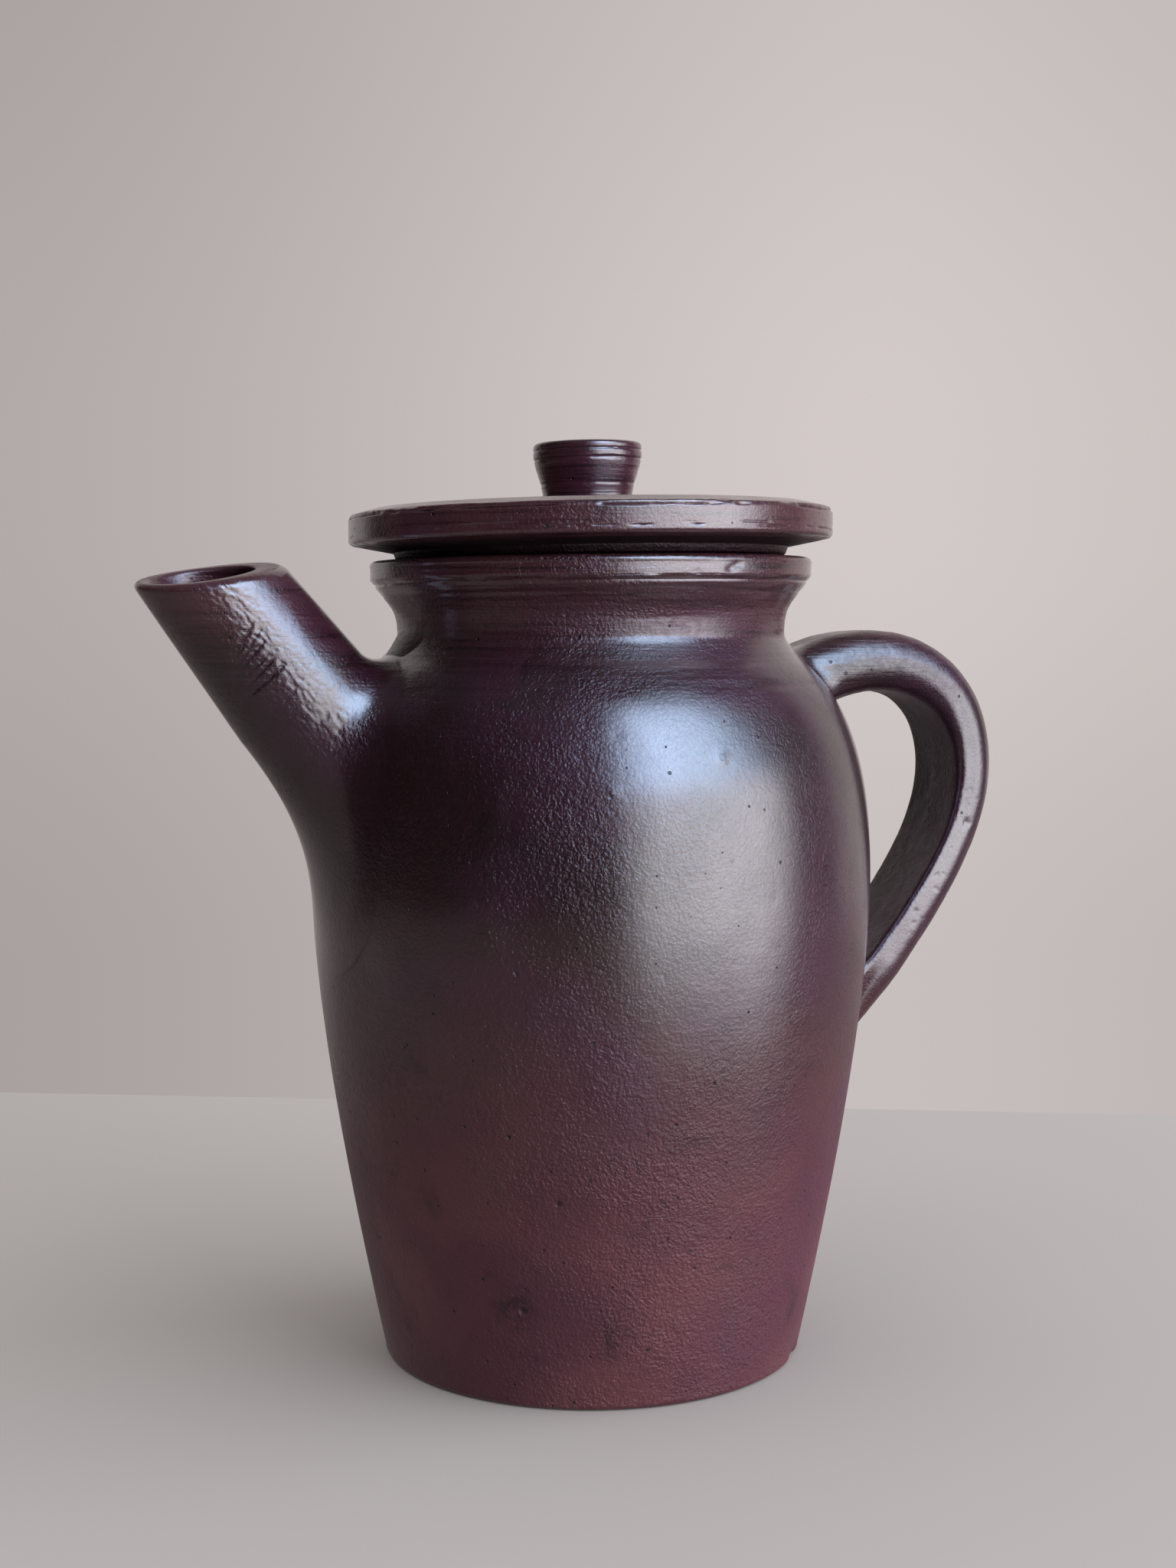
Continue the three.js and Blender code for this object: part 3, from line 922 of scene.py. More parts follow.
class ShapeTree:
    """A Geometry Nodes tree with named inputs, and the modifier that runs it.

    Every tree works the surface of its piece at the end. Its throwing lines and lumps are read from
    the place in space, so that they run on across luted joints.
    """

    NUMBERS = ("Line depth", "Lines per metre", "Lump depth", "Lumps per metre")
    LUMP_PATTERN = (1.0, 0.0, 0.45)
    LINE_PATTERN = (3.0, 0.0, 0.6)
    LINES_FLATTENED = (0.03, 0.03, 1.0)

    def __init__(self, name: str, further: dict[str, str]) -> None:
        """Makes the tree with a geometry in and out.

        Args:
            name: Name of the tree.
            further: Type of each input besides the numbers of the surface and the material, by its name.
        """
        self.tree = bpy.data.node_groups.new(name, "GeometryNodeTree")
        panel = self.tree.interface
        panel.new_socket(name="Geometry", in_out="INPUT", socket_type="NodeSocketGeometry")
        self.identifiers: dict[str, str] = {}
        numbers = dict.fromkeys(self.NUMBERS, "NodeSocketFloat")
        kinds = {**further, **numbers, "Material": "NodeSocketMaterial"}
        for label, kind in kinds.items():
            socket = panel.new_socket(name=label, in_out="INPUT", socket_type=kind)
            self.identifiers[label] = socket.identifier
        panel.new_socket(name="Geometry", in_out="OUTPUT", socket_type="NodeSocketGeometry")
        self.graph = Graph(self.tree)
        self.inlet = self.graph.node("NodeGroupInput")
        self.position = self.graph.link("GeometryNodeInputPosition", 0, carries=Kind.VECTOR)

    def inlet_of(self, name: str, kind: Kind = Kind.NUMBER) -> Link:
        """One of the tree's inputs."""
        return Link(self.graph, self.inlet.outputs[name], kind)

    def stored_lines(self) -> Link:
        """Strength of the throwing lines that the mesh was given."""
        settings, values = {"data_type": "FLOAT"}, {"Name": "lines"}
        return self.graph.link("GeometryNodeInputNamedAttribute", 0, settings, values)

    def _lumps(self) -> Link:
        """Soft lumps that a hand leaves, from minus two depths up to zero."""
        size = self.inlet_of("Lumps per metre")
        broad = self.graph.noise(self.position, size, *self.LUMP_PATTERN)
        tight = self.graph.noise(self.position, size * 3.1, *self.LUMP_PATTERN)
        return (broad * 1.4 + tight * 0.6 - 2.0) * self.inlet_of("Lump depth")

    def _ridges(self, seed: object) -> Link:
        """Ridges that fingers leave round a thrown wall, from minus one depth up to about zero."""
        place = (self.position + seed) * self.LINES_FLATTENED
        ridges = self.graph.noise(place, self.inlet_of("Lines per metre"), *self.LINE_PATTERN)
        return (ridges - 1.0) * self.inlet_of("Line depth")

    def end(self, geometry: Link, strength: Link, seed: object) -> None:
        """Works the surface and closes the tree with Realize Instances and Set Material.

        Args:
            geometry: The clean form.
            strength: Strength of the throwing lines on it.
            seed: Shift of their pattern, a link or a number.
        """
        graph = self.graph
        rise = self._ridges(seed) * strength + self._lumps()
        normal = graph.link("GeometryNodeInputNormal", 0, carries=Kind.VECTOR)
        values = {"Geometry": geometry, "Offset": graph.scaled(normal, rise)}
        worked = graph.link("GeometryNodeSetPosition", "Geometry", None, values)
        real = graph.link("GeometryNodeRealizeInstances", "Geometry", None, {"Geometry": worked})
        values = {"Geometry": real, "Material": self.inlet_of("Material")}
        dressed = graph.link("GeometryNodeSetMaterial", "Geometry", None, values)
        graph.node("NodeGroupOutput", None, {0: dressed})

    def run(self, source: bpy.types.Object, values: dict[str, object]) -> bpy.types.Mesh:
        """Runs the tree on an object and gives the plain mesh that it makes.

        Args:
            source: Object whose mesh goes into the tree; it is removed afterwards.
            values: What goes into the tree's inputs, by name.

        Returns:
            The new mesh, with no modifier left behind.
        """
        modifier = source.modifiers.new("shape", "NODES")
        modifier.node_group = self.tree
        for name, value in values.items():
            modifier[self.identifiers[name]] = value
        graph = bpy.context.evaluated_depsgraph_get()
        mesh = bpy.data.meshes.new_from_object(source.evaluated_get(graph))
        source.modifiers.remove(modifier)
        old = source.data
        bpy.data.objects.remove(source)
        bpy.data.meshes.remove(old)
        return mesh


class Turning(ShapeTree):
    """Turns an outline round the Z axis, as a wheel does, and leaves throwing lines on it."""

    SEAM = 0.002

    def __init__(self) -> None:
        """Writes the tree."""
        super().__init__("turning", {"Segments": "NodeSocketInt", "Seed": "NodeSocketFloat"})
        graph = self.graph
        segments = self.inlet_of("Segments")
        outline = {"Geometry": self.inlet_of("Geometry")}
        count = graph.link("GeometryNodeAttributeDomainSize", "Point Count", {"component": "MESH"}, outline)
        grid = graph.link("GeometryNodeMeshGrid", "Mesh", None, {
            "Size X": 1.0,
            "Size Y": 1.0,
            "Vertices X": segments + 1.0,
            "Vertices Y": count,
        })
        index = graph.link("GeometryNodeInputIndex", 0)
        spoke = graph.maths("FLOOR", index / count)
        ring = index - spoke * count
        radius, _, height = graph.parts(self._sampled(self.position, "FLOAT_VECTOR", ring))
        turn = spoke / segments * FULL_TURN
        kept = graph.node("GeometryNodeCaptureAttribute", {"domain": "POINT"}, {"Geometry": grid})
        kept.capture_items.new("FLOAT", "strength")
        strength = self._sampled(self.stored_lines(), "FLOAT", ring)
        graph.tree.links.new(strength.socket, kept.inputs["strength"])
        across, along = radius * graph.maths("COSINE", turn), radius * graph.maths("SINE", turn)
        moved = graph.link("GeometryNodeSetPosition", "Geometry", None, {
            "Geometry": Link(graph, kept.outputs["Geometry"]),
            "Position": graph.joined(across, along, height),
        })
        sewing = {"Geometry": moved, "Distance": self.SEAM * MM}
        sewn = graph.link("GeometryNodeMergeByDistance", "Geometry", None, sewing)
        self.end(sewn, Link(graph, kept.outputs["strength"]), self.inlet_of("Seed"))

    def _sampled(self, value: Link, kind: str, index: Link) -> Link:
        """What a point of the outline holds."""
        values = {"Geometry": self.inlet_of("Geometry"), "Value": value, "Index": index}
        carries = Kind.VECTOR if kind == "FLOAT_VECTOR" else Kind.NUMBER
        settings = {"data_type": kind, "domain": "POINT"}
        return self.graph.link("GeometryNodeSampleIndex", 0, settings, values, carries)

    def turn(self, name: str, outline: Array, lines: Array, segments: int,
             values: dict[str, object]) -> bpy.types.Object:
        """Turns an outline into a piece.

        Args:
            name: Name of the piece.
            outline: Points of radius and height, in millimetres.
            lines: Strength of the throwing lines at each point, from 0 to 1.
            segments: Number of steps round the piece.
            values: The tree's other inputs, by name.

        Returns:
            The new object.
        """
        mesh = bpy.data.meshes.new(name)
        places = np.stack([outline[:, 0], np.zeros(len(outline)), outline[:, 1]], axis=1) * MM
        edges = [(index, index + 1) for index in range(len(outline) - 1)]
        mesh.from_pydata(places.tolist(), edges, [])
        source = add_object(name + "_outline", mesh)
        store(source, "lines", lines)
        return add_object(name, self.run(source, {"Segments": segments, **values}))


class Working(ShapeTree):
    """Gives a luted piece the same hand unevenness as the jar that it sits on."""

    def __init__(self) -> None:
        """Writes the tree."""
        super().__init__("working", {})
        self.end(self.inlet_of("Geometry"), self.stored_lines(), 0.0)

    def work(self, name: str, rings: Array, closed: bool, material: bpy.types.Material) -> bpy.types.Object:
        """Skins a luted piece and works its surface.

        Args:
            name: Name of the piece.
            rings: Its rings, in millimetres.
            closed: True where the last ring joins the first.
            material: Its finish.

        Returns:
            The new object.
        """
        rough = skin(name + "_rough", rings, closed)
        places = places_of(rough)
        strength = JAR.line_strength(places[:, 2]) * eased(JAR.clearance(places), 0.9, 0.1)
        store(rough, "lines", strength)
        mesh = self.run(rough, {**JAR_LINES, **LUMPS, "Material": material})
        return add_object(name, mesh)


def store(piece: bpy.types.Object, name: str, values: Array) -> None:
    """Keeps a number for each vertex of a piece as an attribute."""
    kept = piece.data.attributes.get(name) or piece.data.attributes.new(name, "FLOAT", "POINT")
    kept.data.foreach_set("value", values.astype(np.float32))


def add_object(name: str, data: bpy.types.ID) -> bpy.types.Object:
    """Puts a mesh, a lamp or a camera into the scene as an object at the origin."""
    piece = bpy.data.objects.new(name, data)
    data.name = name
    bpy.context.scene.collection.objects.link(piece)
    return piece


def skin(name: str, rings: Array, closed: bool) -> bpy.types.Object:
    """Skins rings of equal count.

    Args:
        name: Name of the piece.
        rings: Places in millimetres, as rings, places in a ring and three numbers.
        closed: True where the last ring joins the first, false where both ends are capped.

    Returns:
        The new object, its faces pointing outwards.
    """
    count, sides = rings.shape[:2]
    index = np.arange(count * sides).reshape(count, sides)
    turned = np.roll(index, -1, axis=1)
    last = count if closed else count - 1
    after = np.roll(index, -1, axis=0)[:last]
    after_turned = np.roll(turned, -1, axis=0)[:last]
    quads = np.stack([index[:last], turned[:last], after_turned, after], axis=-1).reshape(-1, 4)
    faces = quads.tolist()
    if not closed:
        faces.append(index[0][::-1].tolist())
        faces.append(index[-1].tolist())
    mesh = bpy.data.meshes.new(name)
    mesh.from_pydata((rings.reshape(-1, 3) * MM).tolist(), [], faces)
    mesh.update()
    return add_object(name, mesh)


def triples_of(piece: bpy.types.Object, what: str) -> Array:
    """Three numbers that each vertex of a piece holds."""
    numbers = np.zeros(len(piece.data.vertices) * 3)
    piece.data.vertices.foreach_get(what, numbers)
    return numbers.reshape(-1, 3)


def places_of(piece: bpy.types.Object) -> Array:
    """Places of a piece's vertices, in millimetres."""
    return triples_of(piece, "co") / MM


def put_places(piece: bpy.types.Object, places: Array) -> None:
    """Moves a piece's vertices to places in millimetres."""
    piece.data.vertices.foreach_set("co", (places * MM).ravel())
    piece.data.update()


def finish_piece(piece: bpy.types.Object, body: Body, node: str) -> None:
    """Smooths a piece, makes it ride and lets it stand for its node.

    Args:
        piece: The finished piece.
        body: Body that it rides on.
        node: Node of the frame that it replaces.
    """
    piece.data.shade_smooth()
    piece.data.set_sharp_from_angle(angle=math.radians(SHARP_ANGLE))
    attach(piece, body.value)
    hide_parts(node)
    piece.data.calc_loop_triangles()
    LOG.info("%s: %d triangles, for node %s", piece.name, len(piece.data.loop_triangles), node)


def lean_by(places: Array, angle: float, strength: Array) -> Array:
    """Raises one side of a form a little, as hand-made rims lean.

    Args:
        places: Places in millimetres.
        angle: Lean in degrees, up on the side that the handle is on, seen from the spout's near side.
        strength: Share of the lean at each place.

    Returns:
        The moved places.
    """
    moved = places.copy()
    moved[:, 2] += places @ level(LEAN_TOWARDS) * math.tan(math.radians(angle)) * strength
    return moved


def push_in(piece: bpy.types.Object, depth: Array) -> None:
    """Takes clay away square to a piece's surface, by a depth at each vertex."""
    put_places(piece, places_of(piece) - triples_of(piece, "normal") * depth[:, None])


@dataclass(frozen=True)
class WornLine:
    """A worn line that runs round a turned piece, over stretches of the round.

    Its height is counted from a base that the piece gives. Its depth is that at its strongest, its width
    the distance from its middle at which it has ended, its wander how far it strays up and down, its
    coverage the share of the round where it shows, and its patch the length of its stretches.
    """

    height: float
    depth: float
    width: float
    wander: float
    coverage: float
    patch: float = 9.0

    def carved(self, places: Array, base: float, noise: ClayNoise) -> Array:
        """Depth of the clay taken away.

        Args:
            places: Places in millimetres.
            base: Height that the line's own is counted from.
            noise: Unevenness that breaks the line.

        Returns:
            Depth at each place.
        """
        flat = places * (1.0 - SKYWARD)
        middle = base + self.height + self.wander * noise.rough(flat + 31.0, self.patch * 1.7)
        edge = 1.0 - 2.0 * self.coverage
        shown = eased(noise.rough(flat, self.patch), edge - 0.15, edge + 0.15)
        fray = 1.0 + 0.5 * noise.at(places, 1.1)
        return self.depth * shown * np.exp(-((places[:, 2] - middle) / (self.width * fray)) ** 2)


# Lines of the jar: at the rim's crease, counted from the underside of the rim band, and on the shoulder
# and the neck, counted from the table.
CREASE_LINES = (
    WornLine(0.9, 0.3, 0.28, 0.15, 0.85),
    WornLine(-0.1, 0.4, 0.3, 0.2, 0.95, 14.0),
    WornLine(-2.6, 0.15, 0.4, 0.3, 0.6),
)
SHOULDER_LINES = (
    WornLine(166.2, 0.12, 0.8, 0.3, 0.5, 20.0),
    WornLine(177.0, 0.15, 0.5, 0.5, 0.5, 16.0),
)

# Lines of the lid's edge, counted from the top and from the bottom of its band.
LID_TORN = WornLine(-0.75, 0.65, 0.3, 0.35, 0.62, 11.0)
LID_BURR = WornLine(-0.1, 0.22, 0.3, 0.3, 0.6, 7.0)
LID_CUT = WornLine(1.9, 0.3, 0.22, 0.15, 0.45, 6.0)
LID_FINE_CUT = WornLine(2.6, 0.18, 0.25, 0.2, 0.4, 9.0)

# Grooves of the knob, counted from the top of its side.
KNOB_GROOVES = (
    WornLine(-2.1, 0.3, 0.25, 0.1, 0.9),
    WornLine(-4.3, 0.22, 0.3, 0.15, 0.7),
    WornLine(-10.2, 0.15, 0.35, 0.15, 0.7),
)

# Chips of the rim band and dents of the jar, as angle, height, spread and depth.
RIM_CHIPS = ((-76, 192.6, 1.0, 0.5), (-74, 193.6, 0.8, 0.5), (-86, 192.0, 0.7, 0.3))
JAR_DENTS = ((-163, 99, 11, 0.5), (-150, 92, 14, 0.35), (-39, 0.5, 3.0, 0.9))
# Pits of the handle, as place, spread and depth.
HANDLE_PITS = (((101.0, -13.0, 128.5), 1.2, 0.5), ((86.0, -13.0, 106.0), 0.8, 0.3))


@dataclass
class PotBody:
    """The thrown jar: foot, belly, shoulder, neck and rim band, with its strainer."""

    wall: float = 4.8
    floor: float = 8.0
    floor_fillet: float = 9.0
    foot_edge: float = 1.6
    rim_thickness: float = 10.0
    strainer_hole: float = 4.5
    strainer_pitch: float = 8.6
    strainer_ring: int = 6
    segments: int = 324
    ring_gaps: Range = (1.25, 0.4)
    inner_gap: float = 5.0
    inner_lines: float = 0.8
    inner_burnish: float = 0.15
    skin: float = 2.0
    lean: float = 0.5
    drill_sides: int = 28
    noise: ClayNoise = field(default_factory=lambda: ClayNoise(7))

    def outline(self) -> tuple[Array, Array]:
        """Whole outline of the jar, and the strength of the throwing lines along it."""
        fine = JAR.outline()
        outer = respaced(fine[fine[:, 1] > self.foot_edge], self._spacing)
        corner = float(JAR.radius_at(np.array(self.foot_edge)))
        top, rounding = JAR.rim_height, JAR.rim_rounding
        rim_in = JAR.rim_radius - self.rim_thickness
        inner = self._inner()
        fillet_from = (inner[-1, 0] - 1.5 - self.floor_fillet, self.floor + self.floor_fillet)
        parts = [
            stretch((0.0, 0.0), (corner - self.foot_edge - 1.0, 0.0), 10),
            quarter_round((corner - self.foot_edge, self.foot_edge), DOWN, OUTWARD, self.foot_edge, 5),
            outer,
            stretch((JAR.rim_radius, JAR.rim_low + 0.75), (JAR.rim_radius, top - rounding - 0.3), 14),
            quarter_round((JAR.rim_radius - rounding, top - rounding), OUTWARD, UP, rounding, 7),
            np.array([[JAR.rim_radius - self.rim_thickness / 2, top]]),
            quarter_round((rim_in + rounding, top - rounding), UP, INWARD, rounding, 6),
            inner,
            quarter_round(fillet_from, OUTWARD, DOWN, self.floor_fillet, 6),
            stretch((inner[-1, 0] - 14.0, self.floor), (0.0, self.floor), 6),
        ]
        path = np.concatenate(parts)
        starts = np.cumsum([0] + [len(part) for part in parts])
        lines = np.zeros(len(path))
        lines[starts[2]:starts[4]] = JAR.line_strength(path[starts[2]:starts[4], 1])
        lines[starts[7]:starts[8]] = self.inner_lines
        return path, lines

    def _spacing(self, heights: Array) -> Array:
        """Distance between rings: close at the neck, wide on the belly."""
        wide, close = self.ring_gaps
        return wide - (wide - close) * eased(heights, 160.0, 172.0)

    def _inner(self) -> Array:
        """Inner face of the wall, from the rim down to the floor fillet."""
        fine = JAR.outline()
        along = unit(np.gradient(fine, axis=0))
        inside = fine + self.wall * np.stack([-along[:, 1], along[:, 0]], axis=1)
        kept = (inside[:, 1] > self.floor + self.floor_fillet) & (inside[:, 1] < JAR.rim_low)
        return respaced(inside[kept][::-1], lambda heights: np.full(len(heights), self.inner_gap))

    def build(self, turning: Turning) -> bpy.types.Object:
        """Turns, carves and pierces the jar."""
        finish = BurnishedClay("jar_clay", "jar_clay", marked=True)
        path, lines = self.outline()
        piece = turning.turn("pot_body_clay", path, lines, self.segments, {
            "Seed": 0.0,
            "Material": finish.build(),
            **JAR_LINES,
            **LUMPS,
        })
        self._carve(piece)
        places = places_of(piece)
        outside = JAR.clearance(places) > -self.skin
        store(piece, "burnish", np.where(outside, JAR.burnish(places[:, 2]), self.inner_burnish))
        self._pierce(piece)
        finish_piece(piece, Body.POT, "pot_body")
        return piece

    def _carve(self, piece: bpy.types.Object) -> None:
        """Rim creases, shoulder groove, pits, dents and the lean of the rim."""
        places = places_of(piece)
        heights = places[:, 2]
        depth = np.zeros(len(places))
        for lines, base in ((CREASE_LINES, JAR.rim_low), (SHOULDER_LINES, 0.0)):
            for line in lines:
                depth += line.carved(places, base, self.noise)
        chipped = eased(self.noise.rough(places, 2.2), 0.42, 0.6) * eased(heights, 194.6, 195.6)
        depth += 0.25 * chipped * (axis_distance(places) > JAR.rim_radius - self.skin)
        for mark in JAR_MARKS:
            amount = -mark.kind.value * MARK_DEPTH * mark.radius
            depth += dint(places, JAR.place(mark.angle, mark.height), mark.radius * 1.1, amount)
        for angle, height, spread, amount in RIM_CHIPS:
            depth += dint(places, JAR.rim_radius * level(angle) + height * SKYWARD, spread, amount)
        for angle, height, spread, amount in JAR_DENTS:
            depth += dint(places, JAR.place(angle, height), spread, amount)
        push_in(piece, np.where(JAR.clearance(places) > -self.skin, depth, 0.0))
        places = places_of(piece)
        put_places(piece, lean_by(places, self.lean, eased(places[:, 2], 168.0, 190.0)))

    def _pierce(self, piece: bpy.types.Object) -> None:
        """Cuts the strainer holes behind the spout."""
        spout = SpoutForm()
        seat = JAR.land(spout.mouth()[None, :], -spout.out())[0]
        normal = JAR.normal_at(seat)
        across = np.array([0.0, 1.0, 0.0])
        along = np.cross(normal, across)

        def round_(radius: float, turns: Array) -> Array:
            """Places on a circle square to the wall, from its middle."""
            return radius * (np.cos(turns)[:, None] * across + np.sin(turns)[:, None] * along)

        ring = round_(self.strainer_pitch, np.arange(self.strainer_ring) * FULL_TURN / self.strainer_ring)
        circle = round_(self.strainer_hole / 2, np.linspace(0.0, FULL_TURN, self.drill_sides, endpoint=False))
        through = normal * 2 * self.wall
        for number, centre in enumerate([seat, *(seat + ring)]):
            rings = np.array([centre + circle + through, centre + circle - through])
            drill = skin(f"drill_{number}", rings, closed=False)
            cut = piece.modifiers.new("hole", "BOOLEAN")
            cut.operation = "DIFFERENCE"
            cut.solver = "MANIFOLD"
            cut.object = drill
            mesh = bpy.data.meshes.new_from_object(piece.evaluated_get(bpy.context.evaluated_depsgraph_get()))
            piece.modifiers.remove(cut)
            if mesh.vertices:
                piece.data = mesh
            bpy.data.objects.remove(drill)


@dataclass(frozen=True)
class SpoutForm:
    """Axis and taper of the spout."""

    reach: float = 96.05
    height: float = 192.1
    rise: float = 51.9
    mouth_radius: float = 15.2
    taper: float = 0.0676
    bore_radius: float = 10.4
    bore_taper: float = 0.05
    straight: float = 36.0
    spread: float = 26.3
    apron: float = 7.0
    mouth_drop: float = 9.0
    mouth_lean: float = 7.0
    lip: float = 2.2
    bore_shift: float = 1.0

    def mouth(self) -> Array:
        """Middle of the mouth."""
        return np.array([-self.reach, 0.0, self.height])

    def out(self) -> Array:
        """Direction out of the spout."""
        rise = math.radians(self.rise)
        return np.array([-math.cos(rise), 0.0, math.sin(rise)])

    def over(self) -> Array:
        """Direction square to the axis, up and towards the neck."""
        rise = math.radians(self.rise)
        return np.array([math.sin(rise), 0.0, math.cos(rise)])

    def side(self) -> Array:
        """Direction square to the axis, towards the near side."""
        return np.cross(self.over(), self.out())

    def mouth_normal(self) -> Array:
        """Direction square to the slanted mouth."""
        drop, lean = math.radians(self.mouth_drop), math.radians(self.mouth_lean)
        tip = np.array([-math.cos(drop), 0.0, -math.sin(drop)])
        side = np.array([0.0, -math.cos(lean), -math.sin(lean)])
        normal = unit(np.cross(side, tip))
        return normal if normal[2] > 0 else -normal


@dataclass
class Spout:
    """The tapering spout with its slanted, rounded mouth, luted to the shoulder."""

    form: SpoutForm = field(default_factory=SpoutForm)
    sides: int = 288
    bore_overlap: float = 2.0
    inner_lip: float = 0.55
    rings_down: int = 90
    rings_onto: int = 64
    tension: float = 0.4
    noise: ClayNoise = field(default_factory=lambda: ClayNoise(11))

    def _spokes(self) -> Array:
        """Directions square to the axis, all the way round."""
        turn = np.arange(self.sides)[:, None] * FULL_TURN / self.sides
        return np.cos(turn) * self.form.over() + np.sin(turn) * self.form.side()

    def _slant_ring(self, radius: float, depth: float, taper: float, shift: float = 0.0) -> Array:
        """Ring that lies along the slanted mouth.

        Args:
            radius: Radius where the ring crosses the square section of the mouth.
            depth: Depth below the mouth, along the axis.
            taper: Growth of the radius with depth.
            shift: Distance of its middle towards the tip.

        Returns:
            The ring's places.
        """
        form, spokes = self.form, self._spokes()
        normal = form.mouth_normal()
        places = form.mouth() - form.over() * shift + spokes * radius
        slide = -((places - form.mouth()) @ normal) / (form.out() @ normal) - depth
        return places + slide[:, None] * form.out() - spokes * (taper * slide)[:, None]

    def _square_ring(self, radius: float, depth: float, shift: float = 0.0) -> Array:
        """Ring square to the axis at a depth below the mouth's middle."""
        form = self.form
        return form.mouth() - form.over() * shift - form.out() * depth + self._spokes() * radius

    def rings(self) -> Array:
        """All rings: up the bore, over the lip, down the outside and onto the jar."""
        form = self.form
        deep = float(np.linalg.norm(form.mouth() - JAR.land(form.mouth()[None, :], -form.out())[0]))
        bore_end = JAR.land(self._square_ring(form.bore_radius + form.bore_taper * deep, 0.0), -form.out())
        bore_end = bore_end - form.out() * self.bore_overlap
        lip, inner_lip = form.lip, form.lip * self.inner_lip
        bore_top = self._slant_ring(form.bore_radius, inner_lip, form.bore_taper, form.bore_shift)
        rings = list(straight(bore_end, bore_top, 26)[:-1])
        for turn in np.linspace(0.0, math.pi / 2, 7):
            radius = form.bore_radius + inner_lip * (1 - math.cos(turn))
            depth = inner_lip * (1 - math.sin(turn))
            rings.append(self._slant_ring(radius, depth, form.bore_taper, form.bore_shift))
        flat_out = self._slant_ring(form.mouth_radius - lip, 0.0, form.taper)
        rings += list(straight(rings[-1], flat_out, 5)[1:])
        for turn in np.linspace(0.0, math.pi / 2, 9)[1:]:
            radius = form.mouth_radius - lip * (1 - math.sin(turn))
            rings.append(self._slant_ring(radius, lip * (1 - math.cos(turn)), form.taper))
        free = self._square_ring(form.mouth_radius + form.taper * form.straight, form.straight)
        shares = np.linspace(0.0, 1.0, self.rings_down)[1:, None, None]
        rings += list(rings[-1] + (free - rings[-1]) * shares)
        spokes = self._spokes()
        lowness = (1.0 - spokes @ form.over()) / 2
        radius = form.spread + form.apron * lowness ** 2
        landing = JAR.land(form.mouth() + spokes * radius[:, None], -form.out())
        rings += list(JAR.blend_onto(free, -form.out(), landing, self.rings_onto, self.tension))
        return np.array(rings)

    def build(self, working: Working) -> bpy.types.Object:
        """Skins the spout and works its surface."""
        finish = BurnishedClay("spout_clay", "spout_clay", grain_depth=0.26)
        piece = working.work("spout_clay", self.rings(), True, finish.build())
        self._crease(piece)
        finish_piece(piece, Body.POT, "spout")
        return piece

    def _crease(self, piece: bpy.types.Object) -> None:
        """Leathery wrinkles and short cuts on the near side."""
        form = self.form
        places = places_of(piece)
        from_mouth = places - form.mouth()
        down = -(from_mouth @ form.out())
        out = from_mouth + down[:, None] * form.out()
        turn = np.degrees(np.arctan2(out @ form.side(), out @ form.over()))
        radius = form.mouth_radius + form.taper * down
        outside = np.linalg.norm(out, axis=1) > radius - 1.0
        sheet = np.stack([down / 1.5, np.radians(turn) * radius * 1.7, np.zeros(len(down))], axis=1)
        wrinkled = np.clip(1.0 - np.abs(self.noise.rough(sheet, 2.2)) * 3.2, 0.0, 1.0)
        zone = eased(np.abs(turn - 103.0), 30.0, 8.0) + 0.25 * eased(np.abs(turn - 80.0), 40.0, 10.0)
        depth = 0.13 * zone * eased(down, 60.0, 42.0) * wrinkled
        for cut in SPOUT_CUTS:
            depth += cut.depth_at(down, turn, form)
        push_in(piece, np.where(outside, depth, 0.0))
        merged = eased(JAR.clearance(places), 0.0, 14.0)
        own = 1.0 - 0.35 * eased(turn, 120.0, 160.0)
        rubbed = JAR.burnish(places[:, 2]) * (1.0 - merged) + merged * own
        store(piece, "burnish", np.where(outside, rubbed, 0.5))


@dataclass(frozen=True)
class SpoutCut:
    """A short tool cut on the spout, between two places given as depth below the mouth and turn."""

    from_down: float
    from_turn: float
    to_down: float
    to_turn: float
    amount: float = 0.2
    width: float = 0.33

    def depth_at(self, down: Array, turn: Array, form: SpoutForm) -> Array:
        """Depth of the cut at places on the spout.

        Args:
            down: Depth of each place below the mouth.
            turn: Turn of each place round the axis, in degrees.
            form: Form of the spout.

        Returns:
            Depth of the clay taken away.
        """
        arc = math.radians(1.0) * (form.mouth_radius + form.taper * self.from_down)
        start = np.array([self.from_down, self.from_turn * arc])
        run = np.array([self.to_down, self.to_turn * arc]) - start
        here = np.stack([down, turn * arc], axis=1) - start
        share = np.clip(here @ run / (run @ run), 0.0, 1.0)
        away = np.linalg.norm(here - share[:, None] * run, axis=1)
        taper = np.clip(4.0 * share * (1.0 - share) + 0.35, 0.0, 1.0)
        return self.amount * taper * np.exp(-(away / self.width) ** 2)


